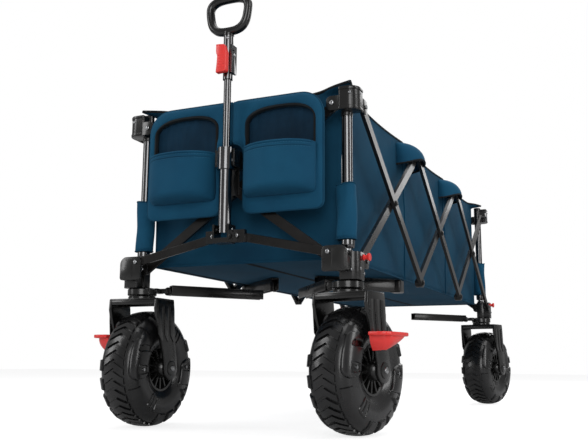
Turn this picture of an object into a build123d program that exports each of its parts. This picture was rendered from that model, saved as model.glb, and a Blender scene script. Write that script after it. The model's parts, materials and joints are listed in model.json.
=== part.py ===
from build123d import *
from math import atan2, cos, degrees, radians, sin, sqrt
import os

os.makedirs("parts", exist_ok=True)

# ---- driving dimensions (mm). X is width, Y length (handle at -Y), +Z up ----
PITCH = 445.0            # spacing of two neighbouring scissor pivots, open
PIVOT_IN = 20.0          # end pivots sit this far inside the post axis
WIDTH = PITCH + 2 * PIVOT_IN         # post axis to post axis across
LENGTH = 3 * PITCH + 2 * PIVOT_IN    # post axis to post axis along
WHEEL_D = 250.0
WHEEL_W = 105.0
TYRE_WALL = 7.0
RIM_R = 50.0
TRAIL = 30.0             # axle behind the swivel axis
AXLE_R = 6.0
SPIGOT_R = 8.0           # swivel pin that turns in the base bracket
FORK_TOP = WHEEL_D + 31  # top face of a caster fork
RISE = 320.0             # height between the two rows of pivots, open
LOW_Z = FORK_TOP + 56    # lower scissor pivots
HIGH_Z = LOW_Z + RISE    # upper scissor pivots
POST_R = 11.0            # outer post tube
POST_WALL = 1.5
POST_TOP = HIGH_Z + 39
POST_LOW = LOW_Z + 29
LINER_R = POST_R - 3     # inner tube that stands on the base bracket
SLEEVE_R = POST_R + 6    # fabric sleeve on the post
BUSH_R = POST_R + 3
BAR_W = 20.0             # flat scissor bars
BAR_T = 8.0
LAYER_GAP = 1.0          # between two crossing bars
BAR_OUT = POST_R + 1.5   # inner bar layer starts this far from the post axis
PIN_R = 4.0
FIT = 0.05               # running clearance on the radius
SLIDE = 0.06             # clearance of the post bushing on the inner tube
SOFT = 0.5               # cloth stays this far from hard parts
CLOTH = 3.0
WALL_IN = SLEEVE_R + 0.6             # cloth wall's outer face, inside the post axis
RIM_Z = HIGH_Z + 49
FLOOR_Z = LOW_Z + 9
FLOOR_T = 8.0
HUB_Y = 68.0             # handle axis in front of the post axes
LINK_Z = LOW_Z + 13      # outer pivots of the links
HUB_Z = LINK_Z + 42      # inner pivots of the links
HANDLE_R = 13.5
HUB_CHEEK = HANDLE_R + 1.5           # inner face of the yoke's cheeks
HUB_PIN_X = HUB_CHEEK + 13
LINK_W = 18.0
LINK_T = 6.0
LINK_BACK = HANDLE_R + 0.8           # front face of the links behind the handle axis
TILT_Z = HUB_Z + 13      # cross pin that the handle tilts on
TILT_R = 5.0
STEM_R = 8.0             # telescoping handle tube
SOCKET_R = 10.5          # socket that joins the grip ring to the stem
STEM_TRAVEL = 82.0
CUFF_R = HANDLE_R + 4.5
RING_Z = HIGH_Z + 169    # foot of the grip ring
LATCH_PIN = (4.0, 36.0, 3.0)         # ahead of the handle axis, below the ring, radius
BRAKE_PIN = (16.0, 48.0)             # behind the swivel axis, above the axle
ARM_EYE = (48.0, 34.0, 11.0)         # floor arm's eye: inside u, inside v, above the bracket
FLOOR_ARM_DROP = 6.0     # middle arms hang this far under the floor

LAYER_1 = (BAR_OUT, BAR_OUT + BAR_T)
LAYER_2 = (LAYER_1[1] + LAYER_GAP, LAYER_1[1] + LAYER_GAP + BAR_T)
PLATE = (LAYER_2[1] + LAYER_GAP, LAYER_2[1] + LAYER_GAP + 2.5)
PIN_BACK = BAR_OUT - 1.0
CORE = BAR_OUT - 0.5     # casting round the post, inside the bar layers
BAR_L = sqrt(PITCH ** 2 + (HIGH_Z - LOW_Z) ** 2)
MID_Z = (LOW_Z + HIGH_Z) / 2
HALF_W = WIDTH / 2
FRONT_Y = -LENGTH / 2 - TRAIL
REAR_Y = FRONT_Y + LENGTH
CORNERS = {
    "fl": (-1, -1),
    "fr": (1, -1),
    "rl": (-1, 1),
    "rr": (1, 1),
}
YAW = {"fl": 0.0, "fr": -11.0, "rl": 0.0, "rr": -13.0}


def block(x0, x1, y0, y1, z0, z1):
    size = (abs(x1 - x0), abs(y1 - y0), abs(z1 - z0))
    middle = ((x0 + x1) / 2, (y0 + y1) / 2, (z0 + z1) / 2)
    return Pos(*middle) * Box(*size)


def rod_x(x0, x1, y, z, r):
    turn = Rot(0, 90, 0)
    return Pos((x0 + x1) / 2, y, z) * turn * Cylinder(r, abs(x1 - x0))


def rod_y(x, y0, y1, z, r):
    turn = Rot(90, 0, 0)
    return Pos(x, (y0 + y1) / 2, z) * turn * Cylinder(r, abs(y1 - y0))


def rod_z(x, y, z0, z1, r):
    return Pos(x, y, (z0 + z1) / 2) * Cylinder(r, abs(z1 - z0))


class Corner:
    """Places shapes by their outward offsets from one post axis."""

    def __init__(self, name):
        self.sx, self.sy = CORNERS[name]
        self.x = self.sx * HALF_W
        self.y = FRONT_Y if self.sy < 0 else REAR_Y

    def px(self, u):
        return self.x + self.sx * u

    def py(self, v):
        return self.y + self.sy * v

    def block(self, u, v, z):
        return block(self.px(u[0]), self.px(u[1]), self.py(v[0]), self.py(v[1]), z[0], z[1])

    def rod_u(self, u, v, z, r):
        return rod_x(self.px(u[0]), self.px(u[1]), self.py(v), z, r)

    def rod_v(self, u, v, z, r):
        return rod_y(self.px(u), self.py(v[0]), self.py(v[1]), z, r)

    def rod_z(self, u, v, z, r):
        return rod_z(self.px(u), self.py(v), z[0], z[1], r)


def save(name, *solids):
    shape = solids[0] if len(solids) == 1 else Compound(children=list(solids))
    export_step(shape, "parts/" + name + ".step")


def one(shape):
    """A boolean result as its single solid."""
    found = shape.solids()
    if len(found) != 1:
        raise ValueError("expected one solid, got %d" % len(found))
    return found[0]


# ---- corner castings -------------------------------------------------------
def pivot_wings(c, z):
    """Two ears, one for the end bars and one for the side bars, with their pins."""
    tall = (z - 15, z + 15)
    ears = c.block((-33, -7), PLATE, tall) + c.block(PLATE, (-33, -7), tall)
    pins = c.rod_v(-PIVOT_IN, (PIN_BACK, PLATE[1] + 3), z, PIN_R)
    pins += c.rod_u((PIN_BACK, PLATE[1] + 3), -PIVOT_IN, z, PIN_R)
    heads = c.rod_v(-PIVOT_IN, (PLATE[1], PLATE[1] + 3), z, PIN_R + 2.5)
    heads += c.rod_u((PLATE[1], PLATE[1] + 3), -PIVOT_IN, z, PIN_R + 2.5)
    return ears + pins + heads


def post(name):
    c = Corner(name)
    tube = c.rod_z(0, 0, (POST_LOW, POST_TOP), POST_R)
    head = c.block((-7, PLATE[1]), (-7, PLATE[1]), (HIGH_Z - 15, HIGH_Z + 33))
    collar = c.rod_z(0, 0, (HIGH_Z - 22, POST_TOP), CORE)
    body = tube + head + collar + pivot_wings(c, HIGH_Z)
    hollow = c.rod_z(0, 0, (POST_LOW - 1, POST_TOP - 6), POST_R - POST_WALL)
    body = one(body - hollow)
    bush = c.rod_z(0, 0, (POST_LOW - 4, POST_LOW + 14), BUSH_R)
    bush -= c.rod_z(0, 0, (POST_LOW - 5, POST_LOW + 15), POST_R)
    cuff = c.rod_z(0, 0, (POST_LOW - 4, POST_LOW), POST_R)
    bush = one(bush + cuff - c.rod_z(0, 0, (POST_LOW - 5, POST_LOW + 1), LINER_R + SLIDE))
    sleeve = c.rod_z(0, 0, (POST_LOW + 15, POST_LOW + 126), SLEEVE_R)
    sleeve = one(sleeve - c.rod_z(0, 0, (POST_LOW, POST_LOW + 200), POST_R))
    save("post_" + name, body, bush, sleeve)


def base(name):
    c = Corner(name)
    floor_z = FORK_TOP + 1.0
    body = c.block((-7, PLATE[1]), (-7, PLATE[1]), (floor_z + 16, LOW_Z + 15))
    body += c.block((-CORE, CORE), (-CORE, CORE), (floor_z, LOW_Z + 15))
    body += c.rod_z(0, 0, (floor_z, floor_z + 17), 32)
    body += pivot_wings(c, LOW_Z)
    if name[0] == "f":
        # fork that holds the lower link in front of the cross bars
        near = HUB_Y - LINK_BACK + 1.5
        body += c.block((-7, 20), (PLATE[0], near), (LINK_Z - 38, LINK_Z - 2))
        body += c.block((-33, 20), (near, near + 3), (LINK_Z - 38, LINK_Z + 12))
        body += c.rod_v(-PIVOT_IN, (near - LINK_T - 4, near + 6), LINK_Z, PIN_R)
    # lug that holds the floor arm
    body += c.block((-34, -20), (-34, -20), (floor_z + 6, floor_z + 17))
    body += c.block((-34, -7), (-20, -7), (floor_z + 6, floor_z + 17))
    eye_u, eye_v, eye_z = ARM_EYE
    body += c.rod_v(-eye_u, (-eye_v + 10, -eye_v - 10), floor_z + eye_z, PIN_R)
    body += c.block((-eye_u - 4, -30), (-eye_v + 8, -20), (floor_z + 6, floor_z + 17))
    body -= c.rod_z(0, 0, (floor_z - 1, floor_z + 15), SPIGOT_R + FIT)
    body = one(body)
    liner = one(c.rod_z(0, 0, (LOW_Z + 15, HIGH_Z - 12), LINER_R))
    knob = c.rod_u((PLATE[1], PLATE[1] + 14), 0, LOW_Z + 6, 8)
    save("base_" + name, body, liner, one(knob))


# ---- flat bars -------------------------------------------------------------
def bar_in_plane(length, end_r, holes):
    """Flat bar along local X, centred, thickness along local Z."""
    shape = Box(length, BAR_W, BAR_T)
    for s in (-1, 1):
        shape += Pos(s * length / 2, 0, 0) * Cylinder(end_r, BAR_T)
    for x in holes:
        shape -= Pos(x, 0, 0) * Cylinder(PIN_R + FIT, BAR_T + 2)
    return shape


def side_bar(sx, cell, rising, layer, holes):
    """One bar of a side scissor, lying in the YZ plane; holes in half lengths."""
    angle = degrees(atan2(HIGH_Z - LOW_Z, PITCH)) * (1 if rising else -1)
    y = FRONT_Y + PIVOT_IN + PITCH * (cell + 0.5)
    x = sx * (HALF_W + sum(layer) / 2)
    half = BAR_L / 2
    flat = bar_in_plane(BAR_L, BAR_W / 2 + 1, [half * h for h in holes])
    # local X to row Y, local Z to row X, then tilted in the YZ plane
    return Pos(x, y, MID_Z) * Rot(angle, 0, 0) * Rot(0, 0, 90) * Rot(90, 0, 0) * flat


def end_bar(sy, rising, layer, holes):
    angle = degrees(atan2(HIGH_Z - LOW_Z, PITCH)) * (1 if rising else -1)
    edge = FRONT_Y if sy < 0 else REAR_Y
    y = edge + sy * sum(layer) / 2
    half = BAR_L / 2
    flat = bar_in_plane(BAR_L, BAR_W / 2 + 1, [half * h for h in holes])
    return Pos(0, y, MID_Z) * Rot(0, -angle, 0) * Rot(90, 0, 0) * flat


def side_pin(sx, node, z):
    """Rivet through both bar layers at pivot number node (0.5 is a crossing)."""
    y = FRONT_Y + PIVOT_IN + PITCH * node
    inner = sx * (HALF_W + PIN_BACK)
    outer = sx * (HALF_W + PLATE[0] + 1.5)
    shape = rod_x(inner, outer, y, z, PIN_R)
    shape += rod_x(sx * (HALF_W + LAYER_2[1] + 0.4), outer, y, z, PIN_R + 3)
    shape += rod_x(inner - sx * 1.5, sx * (HALF_W + LAYER_1[0] - 0.4), y, z, PIN_R + 3)
    return shape


def side_scissors():
    """Six bars a side; a rivet is fixed in the bar that carries it."""
    plan = (
        ("a", 0, False, LAYER_2, (-1, 0, 1), ()),
        ("b", 0, True, LAYER_1, (-1,), ((0.5, MID_Z), (1, HIGH_Z))),
        ("c", 1, False, LAYER_2, (-1, 0, 1), ()),
        ("d", 1, True, LAYER_1, (), ((1.5, MID_Z), (1, LOW_Z), (2, HIGH_Z))),
        ("e", 2, False, LAYER_2, (-1, 0, 1), ()),
        ("f", 2, True, LAYER_1, (1,), ((2.5, MID_Z), (2, LOW_Z))),
    )
    for side, sx in (("l", -1), ("r", 1)):
        for letter, cell, rising, layer, holes, rivets in plan:
            shape = side_bar(sx, cell, rising, layer, holes)
            for node, z in rivets:
                shape += side_pin(sx, node, z)
            save("bar_%s_%s" % (side, letter), one(shape))


def end_scissors():
    save("xbar_f1", one(end_bar(-1, False, LAYER_2, (-1, 0, 1))))
    save("xbar_f2", one(end_bar(-1, True, LAYER_1, (-1, 0, 1))))
    save("xbar_r1", one(end_bar(1, False, LAYER_2, (-1, 0, 1))))
    other = end_bar(1, True, LAYER_1, (-1, 1))
    other += rod_y(0, REAR_Y + PIN_BACK, REAR_Y + PLATE[0] + 1.5, MID_Z, PIN_R)
    other += rod_y(0, REAR_Y + LAYER_2[1] + 0.4, REAR_Y + PLATE[0] + 1.5, MID_Z, PIN_R + 3)
    save("xbar_r2", one(other))


# ---- front collar, hub, links ----------------------------------------------
def collar():
    front = FRONT_Y - PLATE[0]
    shape = rod_y(0, FRONT_Y - PIN_BACK, front - 2.5, MID_Z, PIN_R)
    shape += block(-13, 13, front - 2.5, front, MID_Z - 14, MID_Z + 82)
    reach = FRONT_Y - HUB_Y - 6
    cradle = block(-CUFF_R - 4.6, CUFF_R + 4.6, reach, front, MID_Z + 40, MID_Z + 76)
    cradle -= block(-CUFF_R - 0.6, CUFF_R + 0.6, reach - 1, front - 15, MID_Z, MID_Z + 90)
    shape += cradle
    save("front_collar", one(shape))


def hub():
    """Yoke of the handle with a wing each side that covers a link's end."""
    y = FRONT_Y - HUB_Y
    front = y - HANDLE_R - 3.5
    back = y + LINK_BACK - 1.5
    cheek = HUB_CHEEK
    shape = block(-cheek - 1, cheek + 1, front, back, HUB_Z - 16, HUB_Z - 6)
    for s in (-1, 1):
        shape += block(s * cheek, s * (cheek + 4), front, back, HUB_Z - 16, HUB_Z + 22)
        shape += block(s * cheek, s * (cheek + 30), y + 2, back, HUB_Z - 14, HUB_Z + 12)
        shape += rod_y(s * HUB_PIN_X, y - 1, y + 4, HUB_Z, PIN_R + 2)
    shape -= rod_x(-cheek - 5, cheek + 5, y, TILT_Z, TILT_R + FIT)
    save("front_hub", one(shape))


def link(side, sx):
    """Lower link from a front base bracket up to the hub."""
    y = FRONT_Y - HUB_Y + LINK_BACK + LINK_T / 2
    outer = sx * (HALF_W - PIVOT_IN)
    inner = sx * HUB_PIN_X
    run = abs(outer - inner)
    length = sqrt(run ** 2 + (HUB_Z - LINK_Z) ** 2)
    angle = degrees(atan2(HUB_Z - LINK_Z, run))
    flat = Box(length, LINK_W, LINK_T)
    flat += Pos(-length / 2, 0, 0) * Cylinder(LINK_W / 2, LINK_T)
    flat += Pos(length / 2, 0, 0) * Cylinder(LINK_W / 2, LINK_T)
    flat -= Pos(-length / 2, 0, 0) * Cylinder(PIN_R + FIT, LINK_T + 2)
    # local -X end is the outer pivot for the left link
    turned = Rot(0, -angle, 0) * Rot(90, 0, 0) * flat
    if sx > 0:
        turned = Rot(0, 0, 180) * turned
    return Pos((outer + inner) / 2, y, (HUB_Z + LINK_Z) / 2) * turned


# ---- handle ----------------------------------------------------------------
def handle():
    y = FRONT_Y - HUB_Y
    low = HUB_Z + 5
    cuff_z = (MID_Z + 33, MID_Z + 79)
    outer = rod_z(0, y, low, cuff_z[1], HANDLE_R)
    outer += rod_z(0, y, cuff_z[0], cuff_z[1], CUFF_R)
    outer -= rod_z(0, y, low + 22, cuff_z[1] + 1, HANDLE_R - 1.5)
    outer += rod_x(-HUB_CHEEK - 3.4, HUB_CHEEK + 3.4, y, TILT_Z, TILT_R)
    lid = rod_z(0, y, cuff_z[1] - 8, cuff_z[1], HANDLE_R - 1)
    lid -= rod_z(0, y, cuff_z[1] - 9, cuff_z[1] + 1, STEM_R + FIT)
    save("handle_outer", one(outer + lid))
    foot = low + 22 + STEM_TRAVEL + 2
    stem = rod_z(0, y, foot, RING_Z - 26, STEM_R)
    stem += rod_z(0, y, foot, foot + 14, HANDLE_R - 1.7)
    socket = rod_z(0, y, RING_Z - 100, RING_Z + 3, SOCKET_R)
    stem += socket
    stem += block(10, 15, y - 12, y + 10, RING_Z - 88, RING_Z - 26)
    ahead, below, pin_r = LATCH_PIN
    pin_z = RING_Z - below
    stem += rod_x(-17, 17, y - ahead, pin_z, pin_r)
    save("handle_stem", one(stem))
    save("grip", grip(y))
    red = block(-16, 9.5, y - 27, y - 12.7, RING_Z - 90, RING_Z - 27)
    red += block(-16, -11.5, y - 27, y + 2, RING_Z - 45, RING_Z - 27)
    red -= rod_x(-18, 18, y - ahead, pin_z, pin_r + FIT)
    save("latch", one(red))


def grip(y):
    """Rounded triangular ring that stands on the socket."""
    wide, tall, bar = 120.0, 92.0, 15.0
    low = RING_Z
    with BuildSketch(Plane.XZ) as plan:
        with BuildLine():
            Polyline(
                (-24, low), (24, low), (wide / 2, low + tall * 0.62),
                (wide / 2 - 10, low + tall), (-wide / 2 + 10, low + tall),
                (-wide / 2, low + tall * 0.62), (-24, low),
            )
        make_face()
        fillet(plan.vertices(), 13)
        offset(amount=-bar, mode=Mode.SUBTRACT)
    ring = extrude(plan.sketch, amount=12, both=True)
    ring = fillet(ring.edges().filter_by(Axis.Y, reverse=True), 6)
    ring = Pos(0, y, 0) * ring
    ring -= rod_z(0, y, low - 1, low + 3, SOCKET_R)
    return one(ring)


# ---- casters ---------------------------------------------------------------
def turned(name, shape):
    """Moves a caster piece drawn about a swivel axis at the origin into place."""
    c = Corner(name)
    return Pos(c.x, c.y, 0) * Rot(0, 0, YAW[name]) * shape


def fork_leg(x0, x1):
    r = WHEEL_D / 2
    outline = [
        (-34, FORK_TOP - 8), (34, FORK_TOP - 8), (38, FORK_TOP - 30), (44, r + 50),
        (TRAIL + 22, r + 6), (TRAIL + 14, r - 16), (TRAIL - 14, r - 16),
        (TRAIL - 24, r + 8), (-22, r + 80), (-36, FORK_TOP - 30), (-34, FORK_TOP - 8),
    ]
    with BuildSketch(Plane.YZ) as plan:
        with BuildLine():
            Polyline(*outline)
        make_face()
    return Pos(x0, 0, 0) * extrude(plan.sketch, amount=x1 - x0)


def caster(name):
    r = WHEEL_D / 2
    inner = WHEEL_W / 2 + 2.5
    outer = inner + 8
    fork = block(-outer, outer, -34, 34, FORK_TOP - 19, FORK_TOP - 8)
    fork += rod_z(0, 0, FORK_TOP - 10, FORK_TOP, 30)
    fork += rod_z(0, 0, FORK_TOP - 1, FORK_TOP + 14, SPIGOT_R)
    fork += fork_leg(-outer, -inner) + fork_leg(inner, outer)
    fork += rod_x(-outer - 6, outer + 6, TRAIL, r, AXLE_R)
    for s in (-1, 1):
        fork += rod_x(s * outer, s * (outer + 5), TRAIL, r, 12)
    if name[0] == "f":
        s = CORNERS[name][0]
        behind, above = BRAKE_PIN
        fork += rod_x(s * (outer - 1), s * (outer + 14), behind, r + above, PIN_R)
    save("fork_" + name, one(turned(name, fork)))
    save("tyre_" + name, one(turned(name, tyre())))
    save("rim_" + name, one(turned(name, rim())))
    if name[0] == "f":
        pedal = brake(CORNERS[name][0], outer)
        save("brake_" + name, one(turned(name, pedal)))


def spun(points):
    """Revolves an (x, radius) outline about the wheel's axle."""
    with BuildSketch(Plane.XY) as plan:
        with BuildLine():
            Polyline(*points, points[0])
        make_face()
    solid = revolve(plan.sketch, axis=Axis.X, revolution_arc=360)
    return Pos(0, TRAIL, WHEEL_D / 2) * solid


def tyre():
    """Hollow balloon tyre, open towards the rim that closes it."""
    w = WHEEL_W / 2
    r = WHEEL_D / 2
    side = [
        (w - 14, RIM_R), (w - 4, RIM_R + 12), (w, r - 42), (w - 1, r - 26),
        (w - 8, r - 12), (w - 20, r - 3), (16, r),
    ]
    t = TYRE_WALL
    inner = [
        (16, r - t), (w - 22, r - t - 3), (w - 8 - t, r - 14 - t * 0.5),
        (w - t - 1, r - 30), (w - t, r - 44), (w - 5 - t, RIM_R + 13), (w - 16 - t, RIM_R),
    ]
    loop = side + [(-x, y) for x, y in reversed(side)]
    loop += [(-x, y) for x, y in reversed(inner)] + inner
    return spun(loop)


def rim():
    w = WHEEL_W / 2
    web = RIM_R - 6
    bore = AXLE_R + FIT
    points = [
        (-w + 14, RIM_R), (-w + 14, web), (-12, web - 4), (-12, 24), (-w, 20), (-w, bore),
        (w, bore), (w, 20), (12, 24), (12, web - 4), (w - 14, web), (w - 14, RIM_R),
    ]
    return spun(points)


def brake(s, outer):
    """Foot pedal on the outer fork leg: a wide lip on a tapering body."""
    r = WHEEL_D / 2
    gap = 0.6
    outline = [
        (-30, r + 64), (-30, r + 72), (68, r + 72), (68, r + 64), (46, r + 40),
        (30, r + 18), (8, r + 18), (-4, r + 40), (-30, r + 64),
    ]
    with BuildSketch(Plane.YZ) as plan:
        with BuildLine():
            Polyline(*outline)
        make_face()
    body = extrude(plan.sketch, amount=9)
    near = outer + gap if s > 0 else -outer - gap - 9
    shape = Pos(near, 0, 0) * body
    shape += block(s * (outer + gap), s * (outer + 44), -30, 68, r + 64, r + 72)
    behind, above = BRAKE_PIN
    shape -= rod_x(s * outer, s * (outer + 20), behind, r + above, PIN_R + FIT)
    return shape


# ---- floor arms ------------------------------------------------------------
def flat_run(x0, y0, x1, y1, z, wide=18.0, tall=9.0):
    """Flat bar between two points at one height."""
    length = sqrt((x1 - x0) ** 2 + (y1 - y0) ** 2)
    angle = degrees(atan2(y1 - y0, x1 - x0))
    return Pos((x0 + x1) / 2, (y0 + y1) / 2, z) * Rot(0, 0, angle) * Box(length, wide, tall)


def base_arm(name):
    """Arm on a base bracket that reaches towards the middle of its end bay."""
    c = Corner(name)
    eye_u, eye_v, eye_z = ARM_EYE
    z = FORK_TOP + 1 + eye_z
    eye = c.rod_v(-eye_u, (-eye_v + 7, -eye_v - 7), z, 9)
    reach = PITCH / 2 + PIVOT_IN
    arm = flat_run(c.px(-eye_u - 4), c.py(-eye_v), c.px(-reach + 53), c.py(-reach + 29), z)
    shape = eye + arm - c.rod_v(-eye_u, (-20, -60), z, PIN_R + FIT)
    save("floor_arm_" + name, one(shape))


def floor_arm(side, sx):
    """Arm under the floor from the first bay's middle to its side pivot."""
    z = FLOOR_Z - FLOOR_ARM_DROP
    middle = FRONT_Y + PIVOT_IN + PITCH / 2
    far = middle + PITCH / 2 - 12
    arm = flat_run(sx * 55, middle + 48, sx * (HALF_W - WALL_IN - 10), far, z)
    cap = block(sx * (HALF_W - 46), sx * (HALF_W - 22), far - 20, far + 14, z - 16, z + 4.5)
    return arm + cap


# ---- soft goods as plain closed solids --------------------------------------
def end_panel(sy):
    edge = FRONT_Y if sy < 0 else REAR_Y
    face = edge - sy * WALL_IN
    wide = HALF_W - WALL_IN
    return block(-wide, wide, face, face - sy * CLOTH, FLOOR_Z, RIM_Z)


def side_panel(sx):
    face = sx * (HALF_W - WALL_IN)
    start = FRONT_Y + WALL_IN + CLOTH + SOFT
    stop = REAR_Y - WALL_IN - CLOTH - SOFT
    shape = block(face, face - sx * CLOTH, start, stop, FLOOR_Z, RIM_Z)
    lip = HALF_W + PLATE[0] + 5
    for node in (1, 2):
        y = FRONT_Y + PIVOT_IN + PITCH * node
        shape += block(face, sx * (lip + 2), y - 56, y + 56, HIGH_Z + 26, HIGH_Z + 29)
        shape += block(sx * lip, sx * (lip + 2), y - 56, y + 56, HIGH_Z - 22, HIGH_Z + 29)
    return shape


def floor_half(sx):
    start = FRONT_Y + WALL_IN + CLOTH + SOFT
    stop = REAR_Y - WALL_IN - CLOTH - SOFT
    wide = HALF_W - WALL_IN - CLOTH - SOFT
    return block(sx * 0.3, sx * wide, start, stop, FLOOR_Z, FLOOR_Z + FLOOR_T)


def pocket(sx):
    """Padded backing with an open D-shaped cup, hung over the front rim."""
    back = FRONT_Y - PLATE[1] - 3.4
    left, right = 27.0, HALF_W - 34.5
    low, high = MID_Z - 57, HIGH_Z + 29
    cup_low, cup_top = MID_Z - 35, MID_Z + 79
    shape = block(sx * left, sx * right, back, back - 7, low, high)
    cup = block(sx * (left + 5), sx * (right - 9), back - 7, back - 62, cup_low, cup_top)
    cup = fillet(cup.edges().filter_by(Axis.Z).sort_by(Axis.Y)[:2], 38)
    room = block(sx * (left + 8), sx * (right - 12), back - 7, back - 59, cup_low + 3, cup_top + 1)
    room = fillet(room.edges().filter_by(Axis.Z).sort_by(Axis.Y)[:2], 35)
    shape += cup - room
    inside = FRONT_Y + WALL_IN - SOFT
    shape += block(sx * (left + 30), sx * (right - 30), back - 7, inside, high - 2, high + 9)
    return shape


def build():
    for name in CORNERS:
        post(name)
        base(name)
        caster(name)
        base_arm(name)
    side_scissors()
    end_scissors()
    collar()
    hub()
    handle()
    for side, sx in (("l", -1), ("r", 1)):
        save("link_" + side, one(link(side, sx)))
        save("floor_arm_m" + side, one(floor_arm(side, sx)))
        save("side_panel_" + side, one(side_panel(sx)))
        save("floor_" + side, one(floor_half(sx)))
        save("pocket_" + side, one(pocket(sx)))
    save("front_panel", one(end_panel(-1)))
    save("rear_panel", one(end_panel(1)))


build()
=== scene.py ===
import bmesh
import bpy
import json
import math
from mathutils import Matrix, Vector


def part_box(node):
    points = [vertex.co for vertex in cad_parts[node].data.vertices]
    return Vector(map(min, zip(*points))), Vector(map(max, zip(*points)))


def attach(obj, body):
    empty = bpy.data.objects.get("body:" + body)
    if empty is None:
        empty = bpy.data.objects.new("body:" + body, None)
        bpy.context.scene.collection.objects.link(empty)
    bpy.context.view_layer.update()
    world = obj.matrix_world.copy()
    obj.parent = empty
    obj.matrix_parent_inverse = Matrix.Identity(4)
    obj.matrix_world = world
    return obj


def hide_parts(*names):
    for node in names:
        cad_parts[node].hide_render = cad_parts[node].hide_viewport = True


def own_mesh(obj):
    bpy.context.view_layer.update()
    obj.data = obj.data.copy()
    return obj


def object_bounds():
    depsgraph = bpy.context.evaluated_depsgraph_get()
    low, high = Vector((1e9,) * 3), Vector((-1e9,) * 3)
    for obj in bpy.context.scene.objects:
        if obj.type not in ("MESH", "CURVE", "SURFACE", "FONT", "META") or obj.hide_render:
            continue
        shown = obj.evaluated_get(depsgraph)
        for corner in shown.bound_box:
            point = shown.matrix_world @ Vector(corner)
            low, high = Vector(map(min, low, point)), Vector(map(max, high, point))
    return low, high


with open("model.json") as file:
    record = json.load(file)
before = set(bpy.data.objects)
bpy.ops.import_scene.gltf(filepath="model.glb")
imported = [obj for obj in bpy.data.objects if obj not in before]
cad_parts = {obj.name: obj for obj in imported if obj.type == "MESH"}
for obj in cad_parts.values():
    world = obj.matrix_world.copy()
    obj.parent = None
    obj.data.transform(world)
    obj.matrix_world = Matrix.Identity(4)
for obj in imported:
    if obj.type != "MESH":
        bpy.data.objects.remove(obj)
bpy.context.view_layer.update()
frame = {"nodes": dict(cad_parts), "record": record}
record = frame["record"]
jointByName = {joint["name"]: joint for joint in record["behaviour"]["joints"]}
bodyOfNode = {}
for bodyName, nodeNames in record["behaviour"]["bodies"].items():
    for nodeName in nodeNames:
        bodyOfNode[nodeName] = bodyName

millimetre = 0.001
frontRightSwivel = Vector(jointByName["swivel_fr"]["pos_m"])
rearRightSwivel = Vector(jointByName["swivel_rr"]["pos_m"])
halfWidth = frontRightSwivel.x          # post axis to centre line
frontY = frontRightSwivel.y             # post axes at the handle end
rearY = rearRightSwivel.y
openLength = rearY - frontY
barStart = Vector(jointByName["post_fr_hinge"]["pos_m"])
barEnd = Vector(jointByName["base_fr_hinge"]["pos_m"])
pivotIn = halfWidth - barStart.x        # end pivots inside the post axis
barPitch = (openLength - 2 * pivotIn) / 3
barRise = barStart.z - barEnd.z


# small helpers
def hexLinear(code):
    channels = [int(code[i:i + 2], 16) / 255 for i in (1, 3, 5)]
    linear = [c / 12.92 if c <= 0.04045 else ((c + 0.055) / 1.055) ** 2.4 for c in channels]
    return (*linear, 1.0)


def addNode(tree, kind, settings=None, links=None):
    node = tree.nodes.new(kind)
    for key, value in (settings or {}).items():
        if isinstance(key, str) and hasattr(node, key):
            setattr(node, key, value)
        else:
            node.inputs[key].default_value = value
    for key, source in (links or {}).items():
        tree.links.new(source, node.inputs[key])
    return node


def startMaterial(name, settings):
    material = bpy.data.materials.new(name)
    material.use_nodes = True
    tree = material.node_tree
    shader = tree.nodes["Principled BSDF"]
    for key, value in settings.items():
        shader.inputs[key].default_value = value
    coordinates = addNode(tree, "ShaderNodeTexCoord")
    return material, tree, shader, coordinates


def colourBetween(tree, factor, first, second, low=0.3, high=0.7):
    ramp = addNode(tree, "ShaderNodeValToRGB", links={"Fac": factor})
    ramp.color_ramp.elements[0].position = low
    ramp.color_ramp.elements[0].color = hexLinear(first)
    ramp.color_ramp.elements[1].position = high
    ramp.color_ramp.elements[1].color = hexLinear(second)
    return ramp.outputs["Color"]


def roughnessBetween(tree, factor, low, high):
    spread = addNode(tree, "ShaderNodeMapRange", {"To Min": low, "To Max": high}, {"Value": factor})
    return spread.outputs["Result"]


def place(low, high):
    low, high = Vector(low), Vector(high)
    size = high - low
    return Matrix.Translation((low + high) / 2) @ Matrix.Diagonal((*size, 1))


def bevelAll(bm, verts, width, segments=2):
    edges = list({edge for vert in verts for edge in vert.link_edges})
    bmesh.ops.bevel(bm, geom=edges, offset=width, offset_type="OFFSET", affect="EDGES",
                    segments=segments, profile=0.5, material=-1, clamp_overlap=True)


def absorb(bm, part):
    # joins a finished part into a piece's mesh
    holder = bpy.data.meshes.new("part")
    part.to_mesh(holder)
    part.free()
    bm.from_mesh(holder)
    bpy.data.meshes.remove(holder)


def addBox(bm, low, high, turn=Matrix(), bevel=0.0, segments=2):
    verts = bmesh.ops.create_cube(bm, size=1.0)["verts"]
    bmesh.ops.transform(bm, matrix=turn @ place(low, high), verts=verts)
    if bevel:
        bevelAll(bm, verts, bevel, segments)
    return verts


def addRod(bm, start, end, radius, endRadius=None, segments=32, bevel=0.0):
    start, end = Vector(start), Vector(end)
    along = end - start
    radius = max(radius, 1e-5)
    made = bmesh.ops.create_cone(bm, cap_ends=True, cap_tris=False, segments=segments,
                                 radius1=radius, radius2=radius if endRadius is None else endRadius,
                                 depth=along.length)
    turn = along.to_track_quat("Z", "Y").to_matrix().to_4x4()
    bmesh.ops.transform(bm, matrix=Matrix.Translation((start + end) / 2) @ turn, verts=made["verts"])
    if bevel:
        caps = {f for v in made["verts"] for f in v.link_faces if len(f.verts) > 4}
        edges = list({e for f in caps for e in f.edges})
        bmesh.ops.bevel(bm, geom=edges, offset=bevel, offset_type="OFFSET", affect="EDGES",
                        segments=2, profile=0.5, material=-1)


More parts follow.
